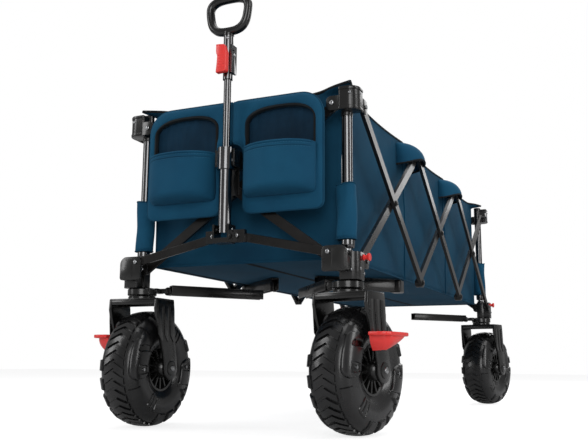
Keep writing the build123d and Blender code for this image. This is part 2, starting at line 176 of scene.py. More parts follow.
def addPlate(bm, outline, thickness, turn=Matrix(), bevel=0.0):
    # outline lies in local XY; the plate grows along local +Z
    verts = [bm.verts.new((x, y, 0)) for x, y in outline]
    face = bm.faces.new(verts)
    grown = bmesh.ops.extrude_face_region(bm, geom=[face])
    top = [g for g in grown["geom"] if isinstance(g, bmesh.types.BMVert)]
    bmesh.ops.translate(bm, vec=(0, 0, thickness), verts=top)
    every = verts + top
    bmesh.ops.transform(bm, matrix=turn, verts=every)
    if bevel:
        bevelAll(bm, every, bevel)


def addSpun(bm, profile, turn=Matrix(), steps=96, closed=True):
    # profile holds (along, radius) about local X
    part = bmesh.new()
    verts = [part.verts.new((x, 0, r)) for x, r in profile]
    pairs = list(zip(verts, verts[1:])) + ([(verts[-1], verts[0])] if closed else [])
    edges = [part.edges.new(pair) for pair in pairs]
    bmesh.ops.spin(part, geom=verts + edges, cent=(0, 0, 0), axis=(1, 0, 0), dvec=(0, 0, 0),
                   angle=math.tau, steps=steps, use_merge=True)
    bmesh.ops.remove_doubles(part, verts=part.verts, dist=1e-6)
    bmesh.ops.transform(part, matrix=turn, verts=part.verts)
    absorb(bm, part)


def smoothByAngle(mesh, degrees=35):
    mesh.shade_smooth()
    mesh.set_sharp_from_angle(angle=math.radians(degrees))


def finishPiece(bm, name, materials, body=None, stands=(), degrees=35, recalc=True):
    if recalc:
        bmesh.ops.recalc_face_normals(bm, faces=bm.faces)
    mesh = bpy.data.meshes.new(name)
    bm.to_mesh(mesh)
    bm.free()
    for material in materials if isinstance(materials, (list, tuple)) else [materials]:
        mesh.materials.append(material)
    smoothByAngle(mesh, degrees)
    piece = bpy.data.objects.new(name, mesh)
    bpy.context.scene.collection.objects.link(piece)
    if body:
        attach(piece, body)
    if stands:
        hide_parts(*stands)
    return piece


def tubeMesh(name, points, radius, cyclic=False, resolution=6, order=3):
    # a round cord of cloth or rubber along a smooth line, turned into a mesh
    curve = bpy.data.curves.new(name, "CURVE")
    curve.dimensions = "3D"
    curve.bevel_depth = radius
    curve.bevel_resolution = 3
    curve.resolution_u = resolution
    curve.use_fill_caps = True
    spline = curve.splines.new("NURBS")
    spline.points.add(len(points) - 1)
    for point, co in zip(spline.points, points):
        point.co = (*co, 1)
    spline.order_u = order
    spline.use_cyclic_u = cyclic
    spline.use_endpoint_u = not cyclic
    holder = bpy.data.objects.new(name, curve)
    mesh = bpy.data.meshes.new_from_object(holder)
    mesh.name = name
    bpy.data.objects.remove(holder)
    bpy.data.curves.remove(curve)
    bm = bmesh.new()
    bm.from_mesh(mesh)
    bpy.data.meshes.remove(mesh)
    return bm


# materials
def clothMaterial(name, dark, light, threadMm=1.1, sheen=0.25):
    # woven polyester: matt, a faint mottled dye and a fine plain weave
    material, tree, shader, co = startMaterial(name, {
        "Roughness": 0.82, "Sheen Weight": sheen, "Sheen Roughness": 0.45, "Specular IOR Level": 0.14,
        "Sheen Tint": hexLinear("#5b9cc0")})
    # real thread spacing is about 0.5 mm; drawn coarser so it can show
    weave = addNode(tree, "ShaderNodeTexChecker", {"Scale": 1 / (threadMm * millimetre)},
                    {"Vector": co.outputs["Object"]})
    mottle = addNode(tree, "ShaderNodeTexNoise", {"Scale": 9.0, "Detail": 4.0, "Roughness": 0.55},
                     {"Vector": co.outputs["Object"]})
    dye = colourBetween(tree, mottle.outputs["Fac"], dark, light, 0.32, 0.68)
    tree.links.new(dye, shader.inputs["Base Color"])
    soft = addNode(tree, "ShaderNodeTexNoise", {"Scale": 55.0, "Detail": 3.0},
                   {"Vector": co.outputs["Object"]})
    crease = addNode(tree, "ShaderNodeBump", {"Strength": 0.12, "Distance": 0.004},
                     {"Height": soft.outputs["Fac"]})
    bump = addNode(tree, "ShaderNodeBump", {"Strength": 0.22, "Distance": 0.0004},
                   {"Height": weave.outputs["Fac"], "Normal": crease.outputs["Normal"]})
    tree.links.new(bump.outputs["Normal"], shader.inputs["Normal"])
    return material


def coatedMaterial(name, dark, light, roughness, metallic, grainMm=0.8, coat=0.0, strength=0.12):
    # powder coat or moulded skin: an even colour with fine orange peel
    material, tree, shader, co = startMaterial(name, {
        "Metallic": metallic, "Coat Weight": coat, "Coat Roughness": 0.12})
    peel = addNode(tree, "ShaderNodeTexNoise", {"Scale": 1 / (grainMm * 4 * millimetre), "Detail": 2.0},
                   {"Vector": co.outputs["Object"]})
    wear = addNode(tree, "ShaderNodeTexNoise", {"Scale": 14.0, "Detail": 5.0, "Roughness": 0.6},
                   {"Vector": co.outputs["Object"]})
    tone = colourBetween(tree, wear.outputs["Fac"], dark, light, 0.35, 0.75)
    tree.links.new(tone, shader.inputs["Base Color"])
    tree.links.new(roughnessBetween(tree, wear.outputs["Fac"], roughness - 0.06, roughness + 0.08),
                   shader.inputs["Roughness"])
    bump = addNode(tree, "ShaderNodeBump", {"Strength": strength, "Distance": 0.0003},
                   {"Height": peel.outputs["Fac"]})
    tree.links.new(bump.outputs["Normal"], shader.inputs["Normal"])
    return material


# plain polyester of the walls: matt and the darkest of the blues
wovenNavy = clothMaterial("woven_polyester_navy", "#0d3850", "#11425b", sheen=0.10)
# padded polyester of pockets, hoods, sleeves and mat: a shade lighter than the walls
wovenNavyPad = clothMaterial("padded_polyester_navy", "#124460", "#174f6c", sheen=0.14)
# ribbed binding tape: draws the black line round every cloth edge
grosgrain = clothMaterial("grosgrain_binding_black", "#161718", "#232425", threadMm=1.6, sheen=0.1)
# knitted net behind the pocket windows: near black with a coarse mesh
netCloth = clothMaterial("knitted_mesh_dark", "#0b2233", "#123349", threadMm=2.4, sheen=0.1)
# powder coated flat bars: black with a soft edge light
satinCoat = coatedMaterial("satin_powder_coated_steel", "#191817", "#262423", 0.28, 0.5, coat=0.3)
# lacquered tubes: a bright upright strip between dark edges
glossCoat = coatedMaterial("gloss_black_coated_tube", "#5c5c5d", "#6a6a6b", 0.14, 1.0, coat=0.5,
                           strength=0.004)
# plated rivets and inner tubes
zincSteel = coatedMaterial("zinc_plated_steel", "#8d8f91", "#b7b8ba", 0.25, 1.0, strength=0.05)
# moulded castings, forks and hubs: deep black with sharp small highlights
nylonBlack = coatedMaterial("moulded_nylon_black", "#0a0a0a", "#131312", 0.26, 0.0, coat=0.35,
                            strength=0.12)
# moulded tyre: charcoal with a low gloss on its shoulders
tyrePlastic = coatedMaterial("moulded_pvc_tyre_charcoal", "#0f0f10", "#181819", 0.27, 0.0, coat=0.3,
                             strength=0.10)
# floors of the tyre scoops and slots: a darker painted shade, so the relief reads
tyreRecessShade = coatedMaterial("moulded_pvc_recess_painted_shade", "#060606", "#0b0b0b", 0.2, 0.0, coat=0.3,
                            strength=0.06)
# latch, pins and brake pedals: the only bright colour
absRed = coatedMaterial("moulded_abs_red", "#ec3835", "#f54742", 0.3, 0.0, strength=0.06)
# soft grip ring: smooth, slightly wet black
gripRubber = coatedMaterial("soft_pvc_grip_black", "#0d0d0d", "#161616", 0.24, 0.0, coat=0.3, strength=0.08)
# thread of the pocket stitches: lighter than the cloth it sits on
stitchThread = clothMaterial("polyester_thread_navy", "#2d6080", "#3a7090", threadMm=0.8, sheen=0.1)
# polished bolt heads
boltSteel = coatedMaterial("bright_steel_bolt", "#9a9b9d", "#c9cacb", 0.22, 1.0, strength=0.03)
print("materials made")


# carried-over hard parts, softened at their edges
def cadCopy(node):
    bm = bmesh.new()
    bm.from_mesh(frame["nodes"][node].data)
    bmesh.ops.remove_doubles(bm, verts=bm.verts, dist=1e-6)
    bmesh.ops.dissolve_limit(bm, angle_limit=math.radians(1.0), verts=bm.verts, edges=bm.edges)
    return bm


def carryNode(node, material, edgeMm=0.8):
    bm = cadCopy(node)
    piece = finishPiece(bm, node + "_soft", material, bodyOfNode[node], [node], degrees=30,
                        recalc=False)
    bevel = piece.modifiers.new("edges", "BEVEL")
    bevel.width = edgeMm * millimetre
    bevel.segments = 2
    bevel.limit_method = "ANGLE"
    bevel.angle_limit = math.radians(35)
    return piece


for node in list(bodyOfNode):
    if node.startswith(("bar_", "xbar_")):
        carryNode(node, satinCoat, edgeMm=1.4)
    elif node.startswith("link_"):
        carryNode(node, satinCoat, edgeMm=1.2)
    elif node in ("front_hub", "front_collar"):
        carryNode(node, nylonBlack, edgeMm=2.2)
    elif node in ("handle_outer", "handle_stem"):
        carryNode(node, glossCoat, edgeMm=1.0)
print("hard parts carried over")


# soft goods
def ease(t):
    t = min(max(t, 0.0), 1.0)
    return t * t * (3 - 2 * t)


def clothGrid(name, columns, rows, shape, material, thickness, body, stands=(),
              offset=0.0):
    # a flat woven piece as one grid; shape(u, v) gives the place of a point, u and v from 0 to 1
    bm = bmesh.new()
    bmesh.ops.create_grid(bm, x_segments=columns, y_segments=rows, size=0.5, calc_uvs=True)
    for vert in bm.verts:
        vert.co = Vector(shape(vert.co.x + 0.5, vert.co.y + 0.5))
    piece = finishPiece(bm, name, material, body, stands, degrees=50, recalc=False)
    if thickness:
        wall = piece.modifiers.new("cloth", "SOLIDIFY")
        wall.thickness = thickness
        wall.offset = offset
    return piece


def flatten(piece):
    # modifiers become plain mesh
    graph = bpy.context.evaluated_depsgraph_get()
    mesh = bpy.data.meshes.new_from_object(piece.evaluated_get(graph))
    piece.modifiers.clear()
    piece.data = mesh
    return piece


def boxOf(*nodes):
    lows, highs = zip(*[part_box(node) for node in nodes])
    return (Vector([min(p[i] for p in lows) for i in range(3)]),
            Vector([max(p[i] for p in highs) for i in range(3)]))


rimSettings = {"sag": 0.012, "binding": 0.0032, "wall": 0.0024}
rimZ = boxOf("front_panel", "rear_panel", "side_panel_l", "side_panel_r")[1].z
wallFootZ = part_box("front_panel")[0].z
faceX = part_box("front_panel")[1].x - 0.0015
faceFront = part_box("front_panel")[0].y + 0.0015
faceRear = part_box("rear_panel")[1].y - 0.0015
tipOut = 0.030      # rim corners reach out over the posts


def endShape(sy):
    face = faceFront if sy < 0 else faceRear
    out = -1 if sy < 0 else 1

    def shape(u, v):
        v = 1 - (1 - v) ** 1.7
        x = (2 * u - 1) * faceX
        side = abs(2 * u - 1)
        top = ease((v - 0.86) / 0.14)
        tip = ease((v - 0.962) / 0.038)
        corner = ease((side - 0.78) / 0.22)
        z = wallFootZ + v * (rimZ - wallFootZ)
        z -= rimSettings["sag"] * top * (1 - side ** 2)
        belly = 0.0030 * math.sin(math.pi * v) * (1 - side ** 4)
        ripple = 0.0016 * math.sin(11 * u + 5 * v) * math.sin(math.pi * v) * (0.4 + 0.6 * side)
        x += math.copysign(tipOut * tip * ease((side - 0.86) / 0.14), x)
        y = face + out * (belly + ripple + tipOut * tip * corner)
        return (x, y, z)
    return shape


def sideShape(sx):
    def shape(u, v):
        v = 1 - (1 - v) ** 1.7
        y = faceFront + u * (faceRear - faceFront)
        side = abs(2 * u - 1)
        top = ease((v - 0.86) / 0.14)
        tip = ease((v - 0.962) / 0.038)
        corner = ease((side - 0.92) / 0.08)
        z = wallFootZ + v * (rimZ - wallFootZ)
        # the rim hangs a little between the pivots that hold it
        span = math.sin(math.pi * ((3 * u) % 1.0))
        z -= rimSettings["sag"] * 0.8 * top * span
        pull = 0.0042 * math.sin(math.pi * v) * (0.35 + 0.65 * span)
        drape = 0.0016 * math.sin(19 * u + 6 * v) * math.sin(math.pi * v)
        drape += 0.0012 * math.sin(37 * u - 9 * v) * v * (1 - v) * 4
        x = sx * (faceX + pull * 0.6 + drape + tipOut * tip * corner)
        y += math.copysign(tipOut * tip * ease((side - 0.955) / 0.045), u - 0.5)
        return (x, y, z)
    return shape


frontAnchor = (halfWidth, frontY, 0)
rearAnchor = (halfWidth, rearY, 0)


def squashX(piece):
    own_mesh(piece)


def squashY(piece):
    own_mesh(piece)


def edgeLine(shape, us, v, lift=0.0):
    points = [Vector(shape(u, v)) for u in us]
    return [p + Vector((0, 0, lift)) for p in points]


for sy, body, node, anchor, label in ((-1, "post_fr", "front_panel", frontAnchor, "front"),
                                      (1, "post_rr", "rear_panel", rearAnchor, "rear")):
    shape = endShape(sy)
    wall = flatten(clothGrid(label + "_wall", 72, 54, shape, wovenNavy, rimSettings["wall"], body,
                             stands=[node]))
    squashX(wall)
    us = [i / 24 for i in range(25)]
    bm = tubeMesh(label + "_rim", edgeLine(shape, us, 1.0), rimSettings["binding"])
    squashX(finishPiece(bm, label + "_rim_binding", grosgrain, body))
    seam = tubeMesh(label + "_foot", edgeLine(shape, us, 0.0, 0.001), 0.0022)
    squashX(finishPiece(seam, label + "_foot_seam", wovenNavy, body))
for sx, body, node, label in ((-1, "post_fl", "side_panel_l", "left"),
                              (1, "post_fr", "side_panel_r", "right")):
    shape = sideShape(sx)
    wall = flatten(clothGrid(label + "_wall", 200, 48, shape, wovenNavy, rimSettings["wall"], body,
                             stands=[node]))
    squashY(wall)
    us = [i / 72 for i in range(73)]
    bm = tubeMesh(label + "_rim", edgeLine(shape, us, 1.0), rimSettings["binding"])
    squashY(finishPiece(bm, label + "_rim_binding", grosgrain, body))
    seam = tubeMesh(label + "_foot", edgeLine(shape, us, 0.0, 0.001), 0.0022)
    squashY(finishPiece(seam, label + "_foot_seam", wovenNavy, body))
    # upright lap seams where the panels are joined, one by each pivot
    for node in (1, 2):
        u = (pivotIn + barPitch * node - (faceFront - frontY)) / (faceRear - faceFront)
        line = [Vector(shape(u, v / 20)) + Vector((sx * 0.0022, 0, 0)) for v in range(0, 20)]
        squashY(finishPiece(tubeMesh(label + "_seam", line, 0.0016), "%s_lap_seam_%d" % (label, node),
                            wovenNavy, body))
print("cloth walls made")


# hoods over the upper pivots
hoodSettings = {"half": 0.058, "drop": 0.046, "wall": 0.0022}


def hoodShape(sx, y0):
    # half dome: it leaves the wall at the rim, swells over the bars and ends in an arched edge
    half, drop = hoodSettings["half"], hoodSettings["drop"]
    root = faceX + 0.0022
    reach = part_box("side_panel_r")[1].x + 0.0015 - root
    topZ = rimZ - 0.0095

    def shape(u, v):
        a = 2 * u - 1
        swell = max(0.0, 1 - abs(a) ** 2.5) ** 0.5
        turn = v * math.pi / 2
        x = root + reach * swell * math.sin(turn) ** 0.92
        z = topZ - drop * (1 - math.cos(turn)) - 0.016 * v * abs(a) ** 2.2
        z -= 0.008 * abs(a) ** 3 * (1 - v)
        return (sx * x, y0 + a * half, z)
    return shape


for sx, body, label in ((-1, "post_fl", "left"), (1, "post_fr", "right")):
    for node in (1, 2):
        y0 = frontY + pivotIn + barPitch * node
        shape = hoodShape(sx, y0)
        hood = flatten(clothGrid("%s_hood_%d" % (label, node), 28, 22, shape, wovenNavyPad,
                                 hoodSettings["wall"], body))
        squashY(hood)
        line = [Vector(shape(i / 24, 1.0)) for i in range(25)]
        squashY(finishPiece(tubeMesh("hood_edge", line, 0.0026), "%s_hood_binding_%d" % (label, node),
                            grosgrain, body))
print("hoods made")


# floor: skin, padded mat and its bound edges
floorSettings = {"skin": 0.0018}
for sx, body, node, label in ((-1, "floor_l", "floor_l", "left"), (1, "floor_r", "floor_r", "right")):
    low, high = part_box(node)
    inner, outer = (high.x, low.x) if sx < 0 else (low.x, high.x)

    def matShape(u, v):
        x = inner + (outer - inner) * u
        y = low.y + (high.y - low.y) * v
        edge = min(u, 1 - u) * abs(outer - inner)
        run = min(v, 1 - v) * (high.y - low.y)
        round_ = ease(min(edge, run) / 0.02)
        third = (v * 3) % 1
        sewn = 1 - 0.7 * math.exp(-(min(third, 1 - third) * 0.45 / 0.012) ** 2)
        z = high.z - 0.0035 + (0.0035 + 0.0015 * math.sin(math.pi * u)) * round_ * sewn
        return (x, y, z)
    mat = flatten(clothGrid(label + "_mat", 40, 180, matShape, wovenNavyPad, 0.002, body, stands=[node],
                            offset=-1.0))
    squashY(mat)

    def skinShape(u, v):
        x = inner + (outer - inner) * u
        y = low.y + (high.y - low.y) * v
        sag = 0.0035 * math.sin(math.pi * u) * math.sin(math.pi * ((v * 3) % 1.0))
        z = low.z + 0.003 - sag
        return (x, y, z)
    skin = flatten(clothGrid(label + "_underside", 24, 120, skinShape, wovenNavy, floorSettings["skin"],
                             body))
    squashY(skin)
    bm = bmesh.new()
    for k in (0, 1):      # bound edges at the two long sides
        x = inner if k == 0 else outer
        addRod(bm, (x + sx * (0.003 if k == 0 else -0.003), low.y + 0.002, low.z + 0.003),
               (x + sx * (0.003 if k == 0 else -0.003), high.y - 0.002, low.z + 0.003), 0.0028, segments=10)
    squashY(finishPiece(bm, label + "_floor_binding", grosgrain, body))
print("floor made")


# sleeves on the posts
sleeveSettings = {"in": 0.0165, "high": 0.111}
for corner in ("fl", "fr", "rl", "rr"):
    swivel = Vector(jointByName["swivel_" + corner]["pos_m"])
    sx = 1 if swivel.x > 0 else -1
    sy = 1 if corner[0] == "r" else -1
    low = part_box("post_" + corner)[0].z + 0.019
    high = low + sleeveSettings["high"]

    def sleeveShape(u, v):
        a = u * math.tau
        c, s = math.cos(a), math.sin(a)
        squareness = (abs(c) ** 3 + abs(s) ** 3) ** (-1 / 3)
        r = sleeveSettings["in"] + 0.0012 * math.sin(3 * a + 6 * v)
        r *= 1 + 0.10 * (squareness - 1)
        inward = max(0.0, -c)       # a tongue of cloth towards the wall that it is sewn to
        x = c * r - 0.004 * inward
        y = s * r
        z = low + (high - low) * v + 0.0015 * math.sin(2 * a) * v
        return (swivel.x + sx * x, swivel.y + sy * y, z)
    bm = bmesh.new()
    bmesh.ops.create_grid(bm, x_segments=40, y_segments=14, size=0.5, calc_uvs=True)
    for vert in bm.verts:
        vert.co = Vector(sleeveShape(vert.co.x + 0.5, vert.co.y + 0.5))
    bmesh.ops.remove_doubles(bm, verts=bm.verts, dist=1e-5)
    bmesh.ops.recalc_face_normals(bm, faces=bm.faces)
    sleeve = finishPiece(bm, "sleeve_" + corner, wovenNavyPad, "post_" + corner, degrees=60)
    wall = sleeve.modifiers.new("cloth", "SOLIDIFY")
    wall.thickness = 0.0018
    wall.offset = 1.0
    bm = bmesh.new()
    for z in (low + 0.001, high - 0.001):
        points = []
        for i in range(24):
            p = Vector(sleeveShape(i / 24, 0.0 if z < (low + high) / 2 else 1.0))
            centre = Vector((swivel.x, swivel.y, p.z))
            points.append(centre + (p - centre) * 1.08)
        ring = tubeMesh("sleeve_hem", points, 0.0016, cyclic=True)
        holder = bpy.data.meshes.new("hem")
        ring.to_mesh(holder)
        ring.free()
        bm.from_mesh(holder)
        bpy.data.meshes.remove(holder)
    finishPiece(bm, "sleeve_hems_" + corner, wovenNavy, "post_" + corner)
print("sleeves made")


# front pockets
pocketSettings = {"pad": 0.0075, "crown": 0.0055, "archRadius": 0.0775, "archRise": 0.032,
                  "windowFoot": 0.571,
                  "outerCorner": 0.050, "footCorner": 0.016, "notchTop": 0.592, "notchCorner": 0.022,
                  "cupWall": 0.0022, "stitchPitch": 0.0055, "stitch": 0.0030}
pocketLow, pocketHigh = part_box("pocket_r")
padBack = frontY - 0.0366
padFaceY = padBack - pocketSettings["pad"]
padIn, padOut = pocketLow.x, pocketHigh.x
padFoot = pocketLow.z
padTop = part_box("pocket_r")[1].z - 0.009
cupIn, cupOut = padIn + 0.007, padOut - 0.014
cupFoot, cupTop = padFoot + 0.037, padFoot + 0.132
cupReach = (padFaceY - pocketLow.y) - 0.0005


def arc(cx, cz, r, start, stop, steps):
    return [(cx + r * math.cos(math.radians(start + (stop - start) * i / steps)),
             cz + r * math.sin(math.radians(start + (stop - start) * i / steps))) for i in range(steps + 1)]


def pocketOutline():
    # from the bottom inside corner, round by the outer edge, over the top and down the notch by the handle
    s = pocketSettings
    line = arc(padIn + s["footCorner"], padFoot + s["footCorner"], s["footCorner"], 180, 270, 8)
    line += arc(padOut - s["footCorner"], padFoot + s["footCorner"], s["footCorner"], 270, 360, 8)
    line += arc(padOut - s["outerCorner"], padTop - s["outerCorner"], s["outerCorner"], 0, 90, 16)
    line += [(0.0004, padTop), (0.0004, s["notchTop"])]
    line += arc(padIn - s["notchCorner"], s["notchTop"] - s["notchCorner"], s["notchCorner"], 90, 0, 8)
    return line


def archOutline():
    s = pocketSettings
    middle = (cupIn + cupOut) / 2 - 0.001
    springZ = padTop - 0.024 - s["archRise"]
    top = []
    for i in range(33):
        t = math.pi * i / 32
        c, n = math.cos(t), math.sin(t)
        x = math.copysign(abs(c) ** 0.86, c)
        top.append((middle + s["archRadius"] * x, springZ + s["archRise"] * n ** 0.86))
    return top + [(middle - s["archRadius"], s["windowFoot"]), (middle + s["archRadius"], s["windowFoot"])]


def resample(line, count):
    # the same closed outline with evenly spaced points
    loop = [Vector((*p, 0)) for p in line] + [Vector((*line[0], 0))]
    lengths = [0.0]
    for a, b in zip(loop, loop[1:]):
        lengths.append(lengths[-1] + (b - a).length)
    found, k = [], 0
    for i in range(count):
        target = lengths[-1] * i / count
        while lengths[k + 1] < target:
            k += 1
        share = (target - lengths[k]) / max(lengths[k + 1] - lengths[k], 1e-9)
        p = loop[k].lerp(loop[k + 1], share)
        found.append((p.x, p.y))
    return found


def ringOf(bm, line, sx, y):
    verts = [bm.verts.new((sx * x, y, z)) for x, z in line]
    edges = [bm.edges.new((a, b)) for a, b in zip(verts, verts[1:] + verts[:1])]
    return verts, edges


def insetLine(line, amount):
    # moves each point of a closed outline towards its inside
    count = len(line)
    area = sum(line[i][0] * line[(i + 1) % count][1] - line[(i + 1) % count][0] * line[i][1]
               for i in range(count))
    turn = 1 if area > 0 else -1
    moved = []
    for i in range(count):
        a, b = Vector(line[i - 1]), Vector(line[(i + 1) % count])
        along = (b - a).normalized()
        moved.append((line[i][0] - along.y * amount * turn, line[i][1] + along.x * amount * turn))
    return moved


def startNear(line, angle):
    middle = (cupIn + cupOut) / 2, (padFoot + padTop) / 2
    best = max(range(len(line)), key=lambda i: math.cos(
        math.atan2(line[i][1] - middle[1], line[i][0] - middle[0]) - angle))
    return line[best:] + line[:best]


pointCount = 132
padLine = startNear(resample(pocketOutline(), pointCount), math.radians(90))
windowLine = startNear(resample(archOutline(), pointCount), math.radians(90))


def signedArea(line):
    return sum(line[i - 1][0] * line[i][1] - line[i][0] * line[i - 1][1] for i in range(len(line)))


if signedArea(padLine) * signedArea(windowLine) < 0:
    windowLine = windowLine[:1] + windowLine[:0:-1]


def padDepth(x, share):
    # crowned between its edges, flatter by the handle
    near = ease(abs(x) / 0.045)
    crown = pocketSettings["crown"] * math.sin(math.pi * min(share, 1.0)) ** 0.6
    return padFaceY - crown * (0.25 + 0.75 * near)


for sx, body, node, anchor, label in ((-1, "post_fl", "pocket_l", (-halfWidth, frontY, 0), "left"),
                                      (1, "post_fr", "pocket_r", frontAnchor, "right")):
    bm = bmesh.new()
    rings = [ringOf(bm, padLine, sx, padBack), ringOf(bm, padLine, sx, padFaceY + 0.0025)]
    edgeLineIn = insetLine(padLine, 0.0022)
    rings.append(ringOf(bm, edgeLineIn, sx, padFaceY))
    steps = 6
    for k in range(1, steps):
        share = k / steps
        inner = [(a[0] + (b[0] - a[0]) * share, a[1] + (b[1] - a[1]) * share)
                 for a, b in zip(insetLine(padLine, 0.003), windowLine)]
        verts, edges = ringOf(bm, inner, sx, padFaceY)
        for vert in verts:
            vert.co.y = padDepth(vert.co.x, share)
        rings.append((verts, edges))
    rings.append(ringOf(bm, windowLine, sx, padFaceY + 0.0005))
    rings.append(ringOf(bm, windowLine, sx, padBack))
    for (_, ea), (_, eb) in zip(rings, rings[1:]):
        bmesh.ops.bridge_loops(bm, edges=ea + eb)
    bmesh.ops.bridge_loops(bm, edges=rings[0][1] + rings[-1][1])
    pad = finishPiece(bm, label + "_pocket_pad", wovenNavyPad, body, [node], degrees=60)
    squashX(pad)

    def ringPoints(line, y, every=2):
        return [(sx * x, y, z) for x, z in line[::every]]
    edging = tubeMesh("edging", ringPoints(insetLine(padLine, 0.001), padFaceY + 0.0022), 0.0020,
                      cyclic=True)
    squashX(finishPiece(edging, label + "_pocket_edging", wovenNavy, body))
    # the binding: a flat tape turned over the window's edge
    outer = insetLine(windowLine, -0.0035)
    bm = bmesh.new()
    innerLine = insetLine(windowLine, 0.0012)
    bands = [ringOf(bm, outer, sx, padFaceY - 0.0016), ringOf(bm, innerLine, sx, padFaceY - 0.0036),
             ringOf(bm, insetLine(windowLine, 0.0022), sx, padFaceY + 0.0010),
             ringOf(bm, insetLine(windowLine, 0.0016), sx, padBack - 0.0008)]
    for (_, ea), (_, eb) in zip(bands, bands[1:]):
        bmesh.ops.bridge_loops(bm, edges=ea + eb)
    binding = finishPiece(bm, label + "_window_binding", grosgrain, body, degrees=60)
    wall = binding.modifiers.new("cloth", "SOLIDIFY")
    wall.thickness = 0.0012
    wall.offset = 1.0
    squashX(flatten(binding))

    middle = (cupIn + cupOut) / 2

    def meshShape(u, v):
        # gathered net behind the window, in soft upright pleats
        half = pocketSettings["archRadius"] + 0.004
        x = middle + (2 * u - 1) * half
        z = cupFoot + 0.02 + (padTop - 0.010 - cupFoot - 0.02) * v
        pleat = 0.0009 * math.sin(46 * u + 1.3 * math.sin(9 * u)) * (0.3 + 0.7 * v)
        return (sx * x, padBack + 0.0012 + pleat, z)
    net = flatten(clothGrid(label + "_window_net", 70, 26, meshShape, netCloth, 0.0006, body))
    squashX(net)

    def cupShape(u, v):
        a = 2 * u - 1
        half = (cupOut - cupIn) / 2
        bow = max(0.0, 1 - abs(a) ** 2.2) ** 0.5
        if v < 0.30:                      # rounded underside
            t = v / 0.30
            scale = 0.10 + 0.90 * math.sin(t * math.pi / 2) ** 0.8
            z = cupFoot + 0.016 * (1 - math.cos(t * math.pi / 2)) ** 1.2 - 0.004 * (1 - t)
        elif v < 0.86:                    # outer wall, a little fuller near the foot
            t = (v - 0.30) / 0.56
            scale = 1.0 + 0.018 * math.sin(math.pi * min(1, t * 1.2)) - 0.006 * t
            z = cupFoot + 0.016 + (cupTop - cupFoot - 0.016) * t
        else:                             # turned over the rim and down inside
            t = (v - 0.86) / 0.14
            scale = 0.994 - 0.030 * math.sin(t * math.pi / 2)
            z = cupTop + 0.0012 * math.sin(t * math.pi) - 0.045 * max(0.0, t - 0.25)
        width = 1.0 if v > 0.30 else 0.90 + 0.10 * min(1.0, scale)
        x = middle + 0.0005 + a * half * width * (0.994 if v > 0.86 else 1.0)
        y = padFaceY + 0.001 - cupReach * bow * scale * 0.985
        crease = 0.0009 * math.sin(8 * a + 3) * math.sin(math.pi * v)
        return (sx * x, y - crease * bow, z)
    cup = flatten(clothGrid(label + "_cup", 64, 44, cupShape, wovenNavyPad, pocketSettings["cupWall"],
                            body))
    squashX(cup)
    for v, radius, material, name in ((0.875, 0.0023, wovenNavyPad, "rim"),
                                      (0.795, 0.0009, wovenNavy, "hem")):
        line = [Vector(cupShape(i / 40, v)) + Vector((0, -0.0012, 0)) for i in range(41)]
        squashX(finishPiece(tubeMesh(name, line, radius), "%s_cup_%s" % (label, name), material, body))
    bm = bmesh.new()
    for v in (0.832, 0.776):              # twin rows of stitches under the rim
        line = [Vector(cupShape(i / 200, v)) + Vector((0, -0.0014, 0)) for i in range(6, 195)]
        walked = 0.0
        for p, q in zip(line, line[1:]):
            walked += (q - p).length
            if walked > pocketSettings["stitchPitch"]:
                walked = 0.0
                along = (q - p).normalized() * pocketSettings["stitch"] / 2
                addRod(bm, p - along, p + along, 0.00045, segments=6)
    squashX(finishPiece(bm, label + "_cup_stitches", stitchThread, body))
print("pockets made")


# casters
wheelSettings = {"treads": 40, "treadHalf": 0.0245, "lugHigh": 0.0040, "toothHigh": 0.0042,
                 "carcassIn": 0.0042,
                 "tooth": 0.030, "slots": -72, "teeth": (-40, -99, -119, -139, -158)}
wheelRadius = (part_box("tyre_fl")[1].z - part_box("tyre_fl")[0].z) / 2
wheelHalf = (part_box("tyre_fl")[1].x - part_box("tyre_fl")[0].x) / 2
rimRadius = 0.050
inset = wheelSettings["carcassIn"]
sideProfile = [(0.0, wheelRadius - inset), (0.012, wheelRadius - inset - 0.0002),
               (wheelHalf - 0.0225, wheelRadius - 0.0055 - inset * 0.6),
               (wheelHalf - 0.0125, wheelRadius - 0.0135 - inset * 0.4),
               (wheelHalf - 0.0065, wheelRadius - 0.0275), (wheelHalf - 0.0045, wheelRadius - 0.044),
               (wheelHalf - 0.0065, rimRadius + 0.016), (wheelHalf - 0.0125, rimRadius + 0.004),
               (wheelHalf - 0.0160, rimRadius - 0.001)]


def smoothLine(points, rounds=3):
    for _ in range(rounds):
        cut = [points[0]]
        for a, b in zip(points, points[1:]):
            cut.append((a[0] * 0.75 + b[0] * 0.25, a[1] * 0.75 + b[1] * 0.25))
            cut.append((a[0] * 0.25 + b[0] * 0.75, a[1] * 0.25 + b[1] * 0.75))
        points = cut + [points[-1]]
    return points


profile = smoothLine(sideProfile)
profileRun = [0.0]
for a, b in zip(profile, profile[1:]):
    profileRun.append(profileRun[-1] + math.dist(a, b))


def onTyre(t, s, h):
    # t runs out from the crown over the shoulder, s round the wheel, h stands off the surface
    side = -1 if t < 0 else 1
    t = min(abs(t), profileRun[-1] - 1e-6)
    k = next(i for i in range(len(profile) - 1) if profileRun[i + 1] >= t)
    share = (t - profileRun[k]) / (profileRun[k + 1] - profileRun[k])
    x = profile[k][0] + (profile[k + 1][0] - profile[k][0]) * share
    r = profile[k][1] + (profile[k + 1][1] - profile[k][1]) * share
    low, high = max(k - 2, 0), min(k + 3, len(profile) - 1)
    dx, dr = profile[high][0] - profile[low][0], profile[high][1] - profile[low][1]
    length = math.hypot(dx, dr)
    x += -dr / length * h
    r += dx / length * h
    angle = s / wheelRadius
    return Vector((side * x, r * math.sin(angle), r * math.cos(angle)))


